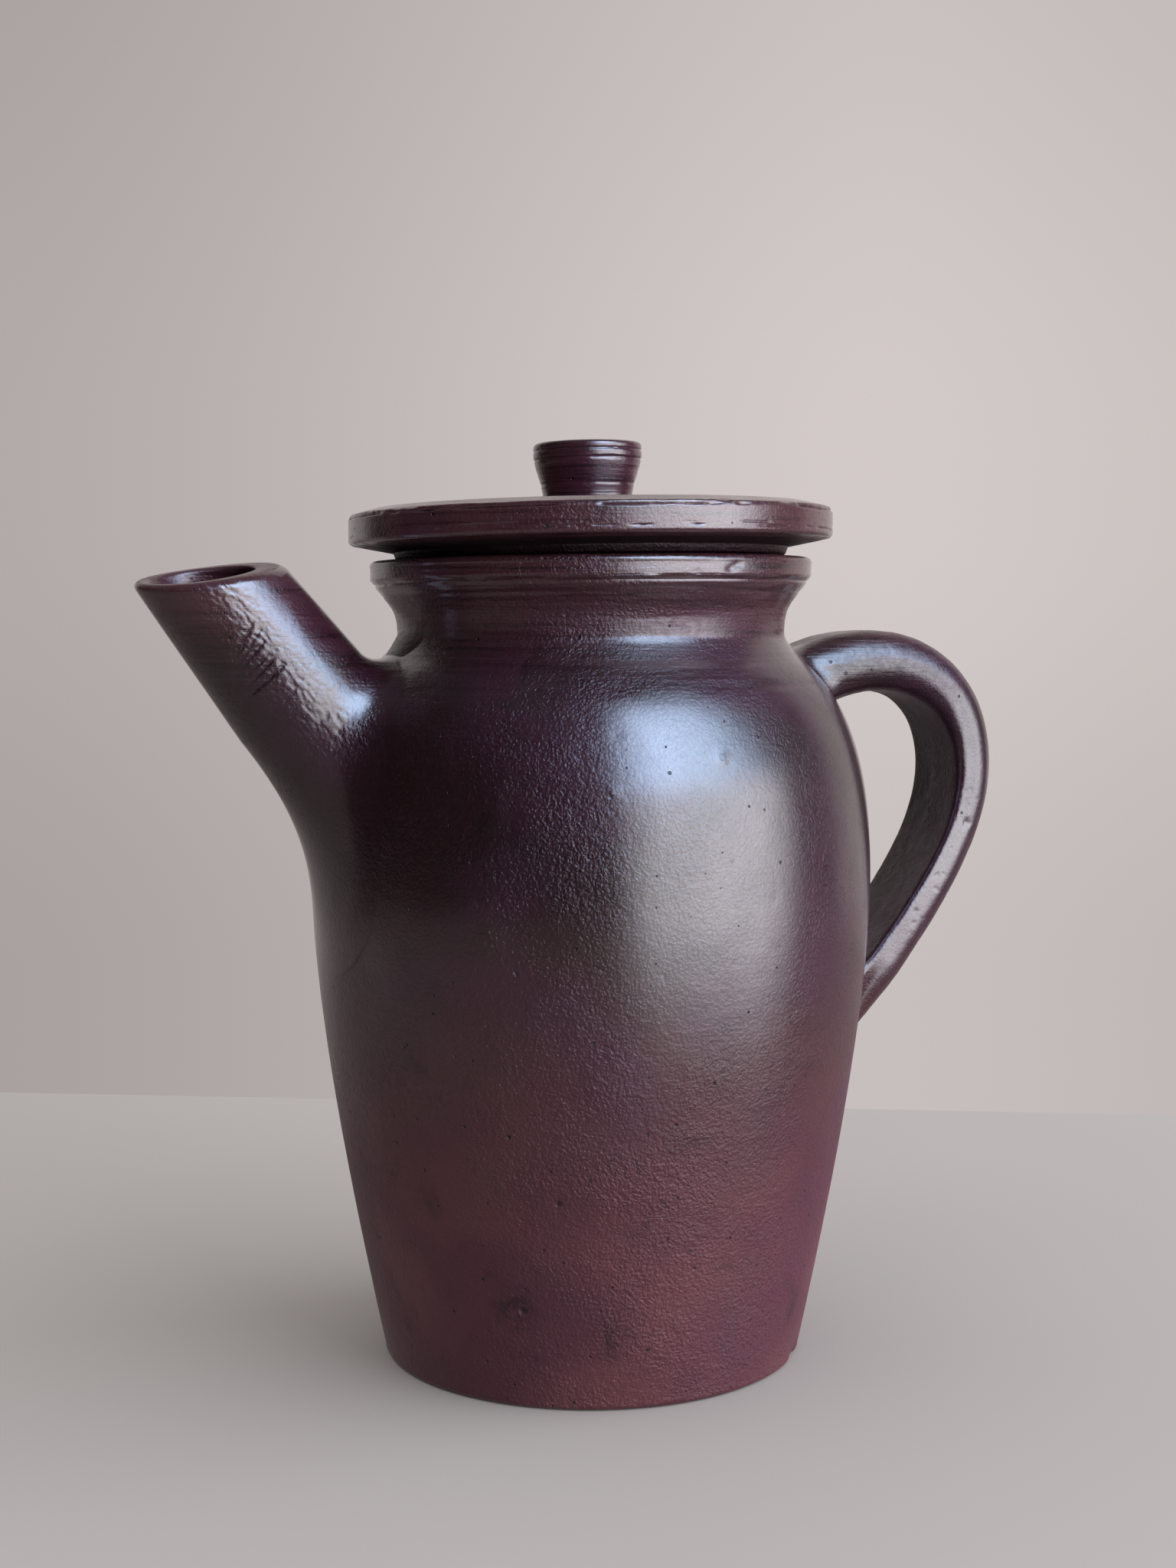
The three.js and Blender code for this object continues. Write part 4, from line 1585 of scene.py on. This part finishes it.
SPOUT_CUTS = (
    SpoutCut(26.6, 136, 25.1, 94, 0.38, 0.36),
    SpoutCut(24.2, 129, 22.6, 98, 0.28),
    SpoutCut(22.4, 124, 20.9, 100, 0.22),
    SpoutCut(20.6, 128, 18.6, 106),
    SpoutCut(19.2, 127, 17.4, 106),
    SpoutCut(17.6, 126, 15.6, 104),
    SpoutCut(16.2, 124, 14.4, 98),
    SpoutCut(19.5, 112, 18.0, 94, 0.25),
    SpoutCut(17.0, 108, 15.6, 92, 0.22),
    SpoutCut(14.6, 110, 13.2, 92, 0.2),
    SpoutCut(21.6, 145, 20.6, 132, 0.22),
    SpoutCut(23.8, 148, 22.0, 138, 0.25),
    SpoutCut(14.0, 165, 12.6, 146, 0.15),
    SpoutCut(10.0, 176, 9.0, 158, 0.15),
    SpoutCut(7.6, 178, 6.8, 162, 0.15),
    SpoutCut(5.4, 176, 4.6, 160, 0.12),
)


@dataclass
class Handle:
    """The pulled strap handle, arched from the shoulder down to the belly."""

    top_height: float = 166.6
    top_rise: float = 23.0
    reach: float = 104.8
    reach_height: float = 143.0
    foot_height: float = 77.0
    foot_slope: float = 50.5
    width: float = 25.0
    thicknesses: tuple[float, ...] = (16.6, 15.2, 12.4, 11.0, 11.4, 13.0)
    inner_edges: tuple[float, ...] = (8.0, 6.6, 3.0, 1.8, 1.8, 2.4)
    outer_edges: tuple[float, ...] = (8.0, 7.6, 7.0, 6.6, 6.6, 6.8)
    crown: float = 0.5
    top_spread: float = 3.0
    foot_spread: float = 3.0
    top_free: float = 9.0
    foot_free: float = 21.0
    corner_points: int = 14
    side_points: int = 10
    face_points: int = 20
    rings_along: int = 260
    rings_top: int = 28
    rings_foot: int = 44
    tension: float = 0.42
    top_pull: float = 0.62
    reach_pulls: Range = (0.95, 0.33)
    foot_pull: float = 0.42
    route_steps: int = 400
    route_points: int = 1200
    noise: ClayNoise = field(default_factory=lambda: ClayNoise(23))

    def _route(self) -> Array:
        """Middle line of the strap, at many even steps."""
        top, foot = JAR.place(0.0, self.top_height), JAR.place(0.0, self.foot_height)
        far = np.array([self.reach, 0.0, self.reach_height])
        rise, slope = math.radians(self.top_rise), math.radians(self.foot_slope)
        top_out = np.array([math.cos(rise), 0.0, math.sin(rise)]) * self.top_pull * (self.reach - top[0])
        lower_drop = self.reach_height - self.foot_height
        foot_in = np.array([math.cos(slope), 0.0, math.sin(slope)]) * -self.foot_pull * lower_drop
        arriving = -SKYWARD * self.reach_pulls[0] * (self.top_height - self.reach_height)
        leaving = -SKYWARD * self.reach_pulls[1] * lower_drop
        upper = sweep(top, top_out, far, arriving, self.route_steps)
        lower = sweep(far, leaving, foot, foot_in, self.route_steps)
        path = np.concatenate([upper, lower[1:]])
        run = np.concatenate([[0.0], np.cumsum(np.linalg.norm(np.diff(path, axis=0), axis=1))])
        return resampled(path, run, np.linspace(0.0, run[-1], self.route_points))

    @staticmethod
    def _at_share(values: Sequence[float], share: float) -> float:
        """Value at a share of the strap's length."""
        return float(np.interp(share, np.linspace(0.0, 1.0, len(values)), values))

    def _section(self, thickness: float, width: float, inner: float, outer: float) -> Array:
        """Section of the strap: crowned outside, flat inside, its inner edges crisper.

        Args:
            thickness: Thickness of the strap.
            width: Width of the strap.
            inner: Rounding of the edges on the finger side.
            outer: Rounding of the edges on the far side.

        Returns:
            Points as height outwards and distance across.
        """
        corners = ((1, 1, outer, 0), (-1, 1, inner, 1), (-1, -1, inner, 2), (1, -1, outer, 3))
        points: list[Array] = []
        for high, wide, edge, quarter in corners:
            turn = (quarter + np.linspace(0.0, 1.0, self.corner_points)) * math.pi / 2
            centre = np.array([high * (thickness / 2 - edge), wide * (width / 2 - edge)])
            arc = centre + edge * np.stack([np.cos(turn), np.sin(turn)], axis=1)
            if points:
                gap = self.side_points if quarter % 2 else self.face_points
                points.append(between(points[-1][-1], arc[0], gap))
            points.append(arc)
        points.append(between(points[-1][-1], points[0][0], self.face_points))
        section = np.concatenate(points)
        bulge = 1.0 - (2.0 * section[:, 1] / width) ** 2
        section[:, 0] += np.where(section[:, 0] > 0, self.crown, 0.2 * self.crown) * bulge - self.crown * 0.6
        return section

    def _ring(self, route: Array, share: float, spread: float) -> Array:
        """Ring of the strap at a share of its length, grown by a spread."""
        place = share * (len(route) - 1)
        index = int(min(max(round(place), 1), len(route) - 2))
        middle = resampled(route, np.arange(len(route)), place)
        across = np.array([0.0, -1.0, 0.0])
        outside = np.cross(across, unit(route[index + 1] - route[index - 1]))
        thickness, inner, outer = (self._at_share(values, share)
                                   for values in (self.thicknesses, self.inner_edges, self.outer_edges))
        section = self._section(thickness + 2 * spread, self.width + 2 * spread, inner, outer)
        return middle + section[:, :1] * outside + section[:, 1:] * across

    def _rooted(self, route: Array, share: float, spread: float, sign: float, steps: int) -> Array:
        """Rings that carry one end of the strap onto the jar."""
        place = int(round(share * (len(route) - 1)))
        leaving = unit(route[place + 1] - route[place - 1]) * sign
        landing = JAR.land(self._ring(route, share, spread), leaving)
        return JAR.blend_onto(self._ring(route, share, 0.0), leaving, landing, steps, self.tension)

    def build(self, working: Working) -> bpy.types.Object:
        """Skins the strap and works its surface."""
        finish = BurnishedClay("handle_clay", "handle_clay", grain_depth=0.22)
        route = self._route()
        length = float(np.linalg.norm(np.diff(route, axis=0), axis=1).sum())
        top, foot = self.top_free / length, 1.0 - self.foot_free / length
        shares = np.linspace(top, foot, self.rings_along)
        rings = np.concatenate([
            self._rooted(route, top, self.top_spread, -1.0, self.rings_top)[::-1],
            np.array([self._ring(route, share, 0.0) for share in shares]),
            self._rooted(route, foot, self.foot_spread, 1.0, self.rings_foot),
        ])
        piece = working.work("handle_clay", rings, False, finish.build())
        self._rub(piece, rings)
        self._wear(piece)
        finish_piece(piece, Body.POT, "handle")
        return piece

    def _rub(self, piece: bpy.types.Object, rings: Array) -> None:
        """Marks the sides and the outside as burnished and the finger side as left rough.

        Args:
            piece: The skinned strap.
            rings: Its rings before working, in the order of its vertices.
        """
        count, sides = rings.shape[:2]
        ring_share = np.broadcast_to(np.linspace(0.0, 1.0, count)[:, None], (count, sides))
        quarter = self.corner_points + self.side_points
        index = np.arange(sides)[None, :]
        inner_side = (index >= quarter) & (index < quarter + 2 * self.corner_points + self.face_points)
        frayed = self.width / 2 - np.abs(rings[..., 1]) + 0.9 * self.noise.rough(rings, 2.6)
        bare = eased(frayed, 0.4, 1.3) * inner_side * eased(ring_share, 0.12, 0.3)
        rubbed = (1.0 - 0.7 * bare) * (1.0 - 0.52 * eased(ring_share, 0.5, 0.2))
        merged = eased(JAR.clearance(rings), 0.0, 12.0)
        rubbed = JAR.burnish(rings[..., 2]) * (1.0 - merged) + rubbed * merged
        store(piece, "burnish", rubbed.ravel())

    def _wear(self, piece: bpy.types.Object) -> None:
        """Slightly crumbled surface, long pulling marks and a few pits."""
        places = places_of(piece)
        stretched = places * np.array([1.0, 1.0, 0.16])
        depth = 0.1 * (1.0 + self.noise.rough(stretched, 3.2))
        depth += 0.1 * eased(self.noise.rough(places, 1.8), 0.35, 0.6) * eased(places[:, 2], 158.0, 140.0)
        for centre, spread, amount in HANDLE_PITS:
            depth += dint(places, np.array(centre), spread, amount)
        push_in(piece, depth * eased(JAR.clearance(places), 1.5, 7.0))


@dataclass
class Lid:
    """The loose lid: a thick disc with a bevelled underside and a flange in the neck."""

    radius: float = 59.5
    band_bottom: float = 3.7
    band_height: float = 7.4
    edge: float = 1.3
    shoulder: float = 5.5
    shoulder_rise: float = 1.5
    crown: float = 1.7
    plate: float = 7.6
    seat_width: float = 3.6
    seat_step: float = 1.8
    flange_depth: float = 9.0
    flange_thickness: float = 5.0
    flange_clearance: float = 2.6
    flange_rounding: float = 1.2
    seat_clearance: float = 0.3
    wall: float = 4.8
    rim_thickness: float = 10.0
    knob_foot: float = 11.1
    segments: int = 560
    lean: float = 0.9
    crown_rub: Range = (54.0, 47.0)
    crown_loss: float = 0.75
    noise: ClayNoise = field(default_factory=lambda: ClayNoise(31))

    @property
    def seat(self) -> float:
        """Height of the seat over the rim."""
        return JAR.rim_height + self.seat_clearance

    @property
    def band(self) -> Range:
        """Heights of the bottom and the top of the edge's band."""
        low = self.seat + self.band_bottom
        return low, low + self.band_height

    @property
    def top(self) -> float:
        """Height of the crown."""
        return self.band[1] + self.shoulder_rise + self.crown

    def outline(self) -> tuple[Array, Array]:
        """Outline from the middle of the underside round to the middle of the top, and its lines."""
        flange_out = JAR.neck_radius - self.wall - self.flange_clearance
        flange_in = flange_out - self.flange_thickness
        flange_low = self.seat - self.flange_depth
        under = self.top - self.plate
        seat_out = JAR.rim_radius - self.rim_thickness + self.seat_width
        low, high = self.band
        seat, edge, rounding = self.seat, self.edge, self.flange_rounding
        crown_radius = self.radius - self.shoulder
        bevel_start = np.array([seat_out + self.seat_step / 3, seat + self.seat_step])
        bevel_end = np.array([self.radius - edge, low])
        edge_top = np.array([self.radius, high - edge])
        crown_start = np.array([crown_radius, high + self.shoulder_rise])
        crown_end = np.array([self.knob_foot + 1.0, self.top])
        slope_start = np.array([self.radius - edge * 1.5, high + self.shoulder_rise / 3])
        third = INWARD * crown_radius / 3
        parts = [
            stretch((0.0, under), (flange_in - 1.0, under), 8),
            np.array([[flange_in, under - 1.0], [flange_in, (under + flange_low) / 2]]),
            quarter_round((flange_in + rounding, flange_low + rounding), INWARD, DOWN, rounding, 4),
            quarter_round((flange_out - rounding, flange_low + rounding), DOWN, OUTWARD, rounding, 4),
            np.array([[flange_out, seat - 3.0], [flange_out, seat - 0.3], [flange_out + 0.4, seat]]),
            np.array([[seat_out - 0.3, seat], [seat_out, seat + 0.3]]),
            np.linspace(bevel_start, bevel_end, 14),
            quarter_round((self.radius - edge, low + edge), DOWN, OUTWARD, edge, 8)[1:],
            stretch((self.radius, low + edge), edge_top, 28)[1:-1],
            sweep(edge_top, UP * edge * 0.8, slope_start, leaning(-70.0) * edge * 0.8, 14),
            np.linspace(slope_start, crown_start, 12)[1:-1],
            sweep(crown_start, third, crown_end, third, 30),
            stretch((self.knob_foot, self.top), (0.0, self.top), 5),
        ]
        path = np.concatenate(parts)
        starts = np.cumsum([0] + [len(part) for part in parts])
        lines = np.zeros(len(path))
        lines[starts[6]:starts[12]] = 1.0
        return path, lines

    def build(self, turning: Turning) -> bpy.types.Object:
        """Turns and carves the lid."""
        finish = BurnishedClay("lid_clay", "lid_clay", dark=(0.036, 0.014, 0.018), wheel_lines=True,
                               line_depth=0.18, grain_depth=0.3)
        path, lines = self.outline()
        piece = turning.turn("lid_clay", path, lines, self.segments, {
            "Line depth": 0.14 * MM,
            "Lines per metre": 1100.0,
            "Seed": 3.0,
            "Material": finish.build(),
            **LUMPS,
        })
        places = places_of(piece)
        low, high = self.band
        outer = axis_distance(places) > self.radius - 4.0
        depth = LID_TORN.carved(places, high, self.noise) + LID_CUT.carved(places, low, self.noise)
        depth += LID_FINE_CUT.carved(places, low, ClayNoise(37))
        depth -= LID_BURR.carved(places, high, ClayNoise(41))
        crumbled = eased(self.noise.rough(places, 1.6), 0.35, 0.6)
        depth += 0.2 * crumbled * eased(places[:, 2], low + 1.2, low + 0.2)
        push_in(piece, np.where(outer, depth, 0.0))
        places = places_of(piece)
        crown = eased(axis_distance(places), *self.crown_rub)
        # The underside is left unburnished, and the finish paints it dark as the shade in the gap over the
        # rim.
        sides = eased(places[:, 2], low - 0.4, low + 0.6)
        store(piece, "burnish", sides * (1.0 - self.crown_loss * crown))
        put_places(piece, lean_by(places, self.lean, np.ones(len(places))))
        finish_piece(piece, Body.LID, "lid")
        return piece


@dataclass
class Knob:
    """The turned, waisted knob on the lid."""

    lid: Lid
    radius: float = 13.5
    foot_radius: float = 11.1
    height: float = 13.6
    band: float = 2.2
    rounding: float = 1.3
    crown: float = 0.5
    off_centre: float = 0.8
    gap: float = 0.4
    segments: int = 256
    side_lean: float = 8.0
    crown_lines: float = 0.4
    burnish: float = 0.88
    noise: ClayNoise = field(default_factory=lambda: ClayNoise(53))

    @property
    def top(self) -> float:
        """Height of the top of the knob's side."""
        return self.lid.top + self.gap + self.height

    def outline(self) -> tuple[Array, Array]:
        """Outline from the middle of the foot up to the middle of the crown, and its lines."""
        bottom = self.lid.top - 0.05
        band_low = self.top - self.rounding - self.band
        band_high = band_low + self.band
        inner = self.radius - self.rounding
        nub = np.linspace(0.0, 1.0, 12)[:, None]
        parts = [
            np.array([[0.0, bottom], [self.foot_radius * 0.6, bottom], [self.foot_radius - 0.2, bottom]]),
            sweep(np.array([self.foot_radius, bottom]), UP * self.height / 4,
                  np.array([self.radius, band_low]), leaning(self.side_lean) * self.height / 4, 60),
            stretch((self.radius, band_low), (self.radius, band_high), 13)[1:],
            quarter_round((inner, band_high), OUTWARD, UP, self.rounding, 8)[1:],
            np.concatenate([inner * (1 - nub), self.top + self.crown * (1 - (1 - nub) ** 2)], axis=1)[1:],
        ]
        path = np.concatenate(parts)
        lines = np.ones(len(path))
        lines[:3] = 0.0
        lines[-12:] = self.crown_lines
        return path, lines

    def build(self, turning: Turning) -> bpy.types.Object:
        """Turns and carves the knob."""
        finish = BurnishedClay("knob_clay", "knob_clay", dark=(0.012, 0.004, 0.008), wheel_lines=True,
                               line_depth=0.18, grain_depth=0.16, roughness=0.28)
        path, lines = self.outline()
        piece = turning.turn("lid_knob_clay", path, lines, self.segments, {
            "Line depth": 0.22 * MM,
            "Lines per metre": 1000.0,
            "Seed": 5.0,
            "Material": finish.build(),
            "Lump depth": 0.05 * MM,
            "Lumps per metre": 60.0,
        })
        places = places_of(piece)
        grooves = sum(groove.carved(places, self.top, self.noise) for groove in KNOB_GROOVES)
        push_in(piece, np.where(axis_distance(places) > self.foot_radius - 1.5, grooves, 0.0))
        places = places_of(piece)
        store(piece, "burnish", np.full(len(places), self.burnish))
        places[:, 0] -= self.off_centre
        put_places(piece, lean_by(places, self.lid.lean, np.ones(len(places))))
        finish_piece(piece, Body.LID, "lid_knob")
        return piece


@dataclass(frozen=True)
class Table:
    """The pale table top that the pot stands on."""

    turn: float = -27.4
    left: float = 620.0
    right: float = 620.0
    front: float = 470.0
    back: float = 269.0
    tone: Tone = (0.42, 0.41, 0.408)
    worn: float = 0.96
    dullness: float = 0.85

    def build(self) -> bpy.types.Object:
        """Makes the table top with its paint, hidden from glossy rays."""
        across, away = level(self.turn), level(self.turn + 90.0)
        corners = [(-self.left, -self.front), (self.right, -self.front), (self.right, self.back),
                   (-self.left, self.back)]
        mesh = bpy.data.meshes.new("table_top")
        places = [tuple((across * right + away * back) * MM) for right, back in corners]
        mesh.from_pydata(places, [], [range(len(places))])
        table = add_object("table_top", mesh)
        material = bpy.data.materials.new("table_paint")
        graph, place = opened(material, "Object")
        worn = tuple(value * self.worn for value in self.tone)
        graph.dress({
            "Base Color": graph.mix(PAINT_CLOUD.on(graph, place), worn, self.tone),
            "Roughness": self.dullness,
            "Specular IOR Level": 0.0,
        })
        mesh.materials.append(material)
        table.visible_glossy = False
        return table


@dataclass(frozen=True)
class Room:
    """The room round the table: a pale wall behind the pot, and a dim room in front of it.

    Where a tone comes in is given by steps: over the heading as a cosine, over the rise as a sine, and for
    the window over both in degrees.
    """

    wall_left: Tone = (0.440, 0.400, 0.395)
    wall_right: Tone = (0.655, 0.598, 0.585)
    wall_edge: Tone = (0.590, 0.540, 0.525)
    table_far: Tone = (0.235, 0.198, 0.203)
    dim: Tone = (0.008, 0.006, 0.009)
    ceiling: Tone = (0.050, 0.042, 0.060)
    fill_level: Tone = (0.080, 0.074, 0.078)
    fill_above: Tone = (1.240, 1.150, 1.120)
    sky: Tone = (0.54, 0.72, 1.0)
    sky_strength: float = 14.4
    yard: Tone = (1.0, 1.0, 1.05)
    yard_strength: float = 5.7
    light_from: float = 112.0
    right_steps: tuple[Range, Range] = ((-0.30, 0.17), (0.10, 0.32))
    shade: float = 0.12
    shade_steps: tuple[Range, Range] = ((0.05, -0.16), (0.08, 0.34))
    wall_middle: float = 27.0
    wall_step: Range = (0.42, 0.66)
    ceiling_step: Range = (0.55, 0.95)
    table_step: Range = (-0.10, -0.2)
    fill_step: Range = (0.2, 0.9)
    low_pane: tuple[Range, Range, Range] = ((-16.0, 10.0), (74.0, 45.0), (-28.0, -6.0))
    high_pane: tuple[Range, Range, Range] = ((-20.0, 12.0), (71.0, 22.0), (70.0, 44.0))
    pane_step: Range = (12.0, 22.0)
    yard_step: tuple[float, float, float, float] = (5.0, 46.0, 0.88, 1.10)
    sky_step: tuple[float, float, float, float] = (10.0, 60.0, 1.0, 0.72)
    horizon_step: Range = (11.0, 24.0)

    def build(self) -> None:
        """Writes the world's nodes."""
        world = bpy.data.worlds.new("room")
        bpy.context.scene.world = world
        graph, outwards = opened(world, "Generated")
        _, _, rise = graph.parts(outwards)
        # Painted light on the wall behind the pot: brighter towards the window's side, and shaded near the
        # table and towards the top.
        right = graph.vector_maths("DOT_PRODUCT", outwards, self._heading(self.light_from))
        to_right, to_edge = self.right_steps
        wall = graph.mix(right.step(*to_right), self.wall_left, self.wall_right)
        wall = graph.mix(right.step(*to_edge), wall, self.wall_edge)
        below, above = (rise.step(*ends) * self.shade for ends in self.shade_steps)
        lowered = graph.mix(below + above, wall, BLACK)
        behind = graph.vector_maths("DOT_PRODUCT", outwards, self._heading(self.wall_middle))
        room = graph.mix(rise.step(*self.ceiling_step), self.dim, self.ceiling)
        felt = graph.mix(behind.step(*self.wall_step), room, wall)
        felt = graph.mix(rise.step(*self.table_step), felt, self.table_far)
        felt = graph.mix(*self._window(graph, outwards, felt))
        fill = graph.mix(rise.step(*self.fill_step), self.fill_level, self.fill_above)
        path = graph.node("ShaderNodeLightPath")
        camera, glossy = (Link(graph, path.outputs[f"Is {ray} Ray"]) for ray in ("Camera", "Glossy"))
        tone = graph.mix(camera, graph.mix(glossy, fill, felt), lowered)
        light = graph.link("ShaderNodeBackground", "Background", None, {"Color": tone, "Strength": 1.0})
        graph.node("ShaderNodeOutputWorld", None, {"Surface": light})

    def _window(self, graph: Graph, outwards: Link, room: Link) -> tuple[Link, Link, Link]:
        """The curtained window: open sky above, the yard below, brighter on the right.

        Args:
            graph: Tree of the world.
            outwards: Direction in which the world is met.
            room: What is there besides the window.

        Returns:
            How much of the window a direction meets, soft on all sides, the room, and what the window shows.
        """
        across, back, up = graph.parts(outwards)
        whole = math.degrees(1.0)
        heading = graph.maths("ARCTAN2", across, back * -1.0) * whole
        rise = graph.maths("ARCSINE", up) * whole
        low, high = (heading.step(*left) * heading.step(*right) * rise.step(*end)
                     for left, right, end in (self.low_pane, self.high_pane))
        yard = graph.scaled(graph.joined(*self.yard), heading.step(*self.yard_step) * self.yard_strength)
        sky = graph.scaled(graph.joined(*self.sky), heading.step(*self.sky_step) * self.sky_strength)
        mask = graph.mix(rise.step(*self.pane_step), low, high)
        return mask, room, graph.mix(rise.step(*self.horizon_step), yard, sky)

    @staticmethod
    def _heading(angle: float) -> tuple[float, float, float]:
        """Level direction, turned from straight back towards the handle's side."""
        return tuple(level(90.0 - angle).tolist())


@dataclass(frozen=True)
class Pane:
    """The big soft window as a lamp, seen from the pot as a range of headings and heights.

    The lamp gives the shading and the shadow. What the clay mirrors of the window is in the room.
    """

    name: str
    headings: Range
    rises: Range
    tone: Tone
    radiance: float
    distance: float = 2400.0
    height: float = 120.0

    def build(self) -> bpy.types.Object:
        """Makes the area lamp of the pane."""
        heading, rise = (math.radians(sum(ends) / 2) for ends in (self.headings, self.rises))
        wide, tall = (math.radians(ends[1] - ends[0]) for ends in (self.headings, self.rises))
        flat = math.cos(rise)
        towards = Vector((math.sin(heading) * flat, -math.cos(heading) * flat, math.sin(rise)))
        lamp = bpy.data.lights.new(self.name, "AREA")
        lamp.shape = "RECTANGLE"
        reach = self.distance * MM
        lamp.size = 2 * reach * math.tan(wide / 2) * flat
        lamp.size_y = 2 * reach * math.tan(tall / 2)
        lamp.color = self.tone
        lamp.energy = self.radiance * math.pi * lamp.size * lamp.size_y
        holder = add_object(self.name, lamp)
        holder.location = Vector((0.0, 0.0, self.height * MM)) + towards * reach
        holder.rotation_euler = towards.to_track_quat("Z", "Y").to_euler()
        holder.visible_camera = False
        holder.visible_glossy = False
        return holder


WINDOW = Pane("window_light", (8.0, 94.0), (-4.0, 40.0), (0.95, 0.96, 1.0), 4.0)


@dataclass(frozen=True)
class PhotoCamera:
    """The camera at the photograph's viewing angle."""

    heading: float = 22.0
    distance: float = 539.92
    sideways: float = -0.66
    height: float = 180.49
    pitch: float = 4.2073
    roll: float = 0.08
    lens: float = 50.0
    sensor: float = 36.0
    clip: Range = (0.02, 30.0)

    def build(self) -> bpy.types.Object:
        """Makes the camera and gives it to the scene."""
        data = bpy.data.cameras.new("photo_camera")
        data.lens = self.lens
        data.sensor_width = self.sensor
        data.sensor_fit = "AUTO"
        data.clip_start, data.clip_end = self.clip
        camera = add_object("photo_camera", data)
        turn = math.radians(self.heading)
        camera.location = Vector((
            self.sideways * math.cos(turn) - self.distance * math.sin(turn),
            -self.sideways * math.sin(turn) - self.distance * math.cos(turn),
            self.height,
        )) * MM
        camera.rotation_euler = (math.radians(90.0 - self.pitch), math.radians(self.roll), -turn)
        bpy.context.scene.camera = camera
        return camera


def main() -> None:
    """Builds the camera, the stage and every piece of the pot."""
    logging.basicConfig(level=logging.INFO, format="%(message)s")
    bpy.context.scene.view_settings.view_transform = "Standard"
    PhotoCamera().build()
    Room().build()
    Table().build()
    WINDOW.build()
    turning, working = Turning(), Working()
    PotBody().build(turning)
    Spout().build(working)
    Handle().build(working)
    lid = Lid()
    lid.build(turning)
    Knob(lid).build(turning)


if __name__ == "__main__":
    main()
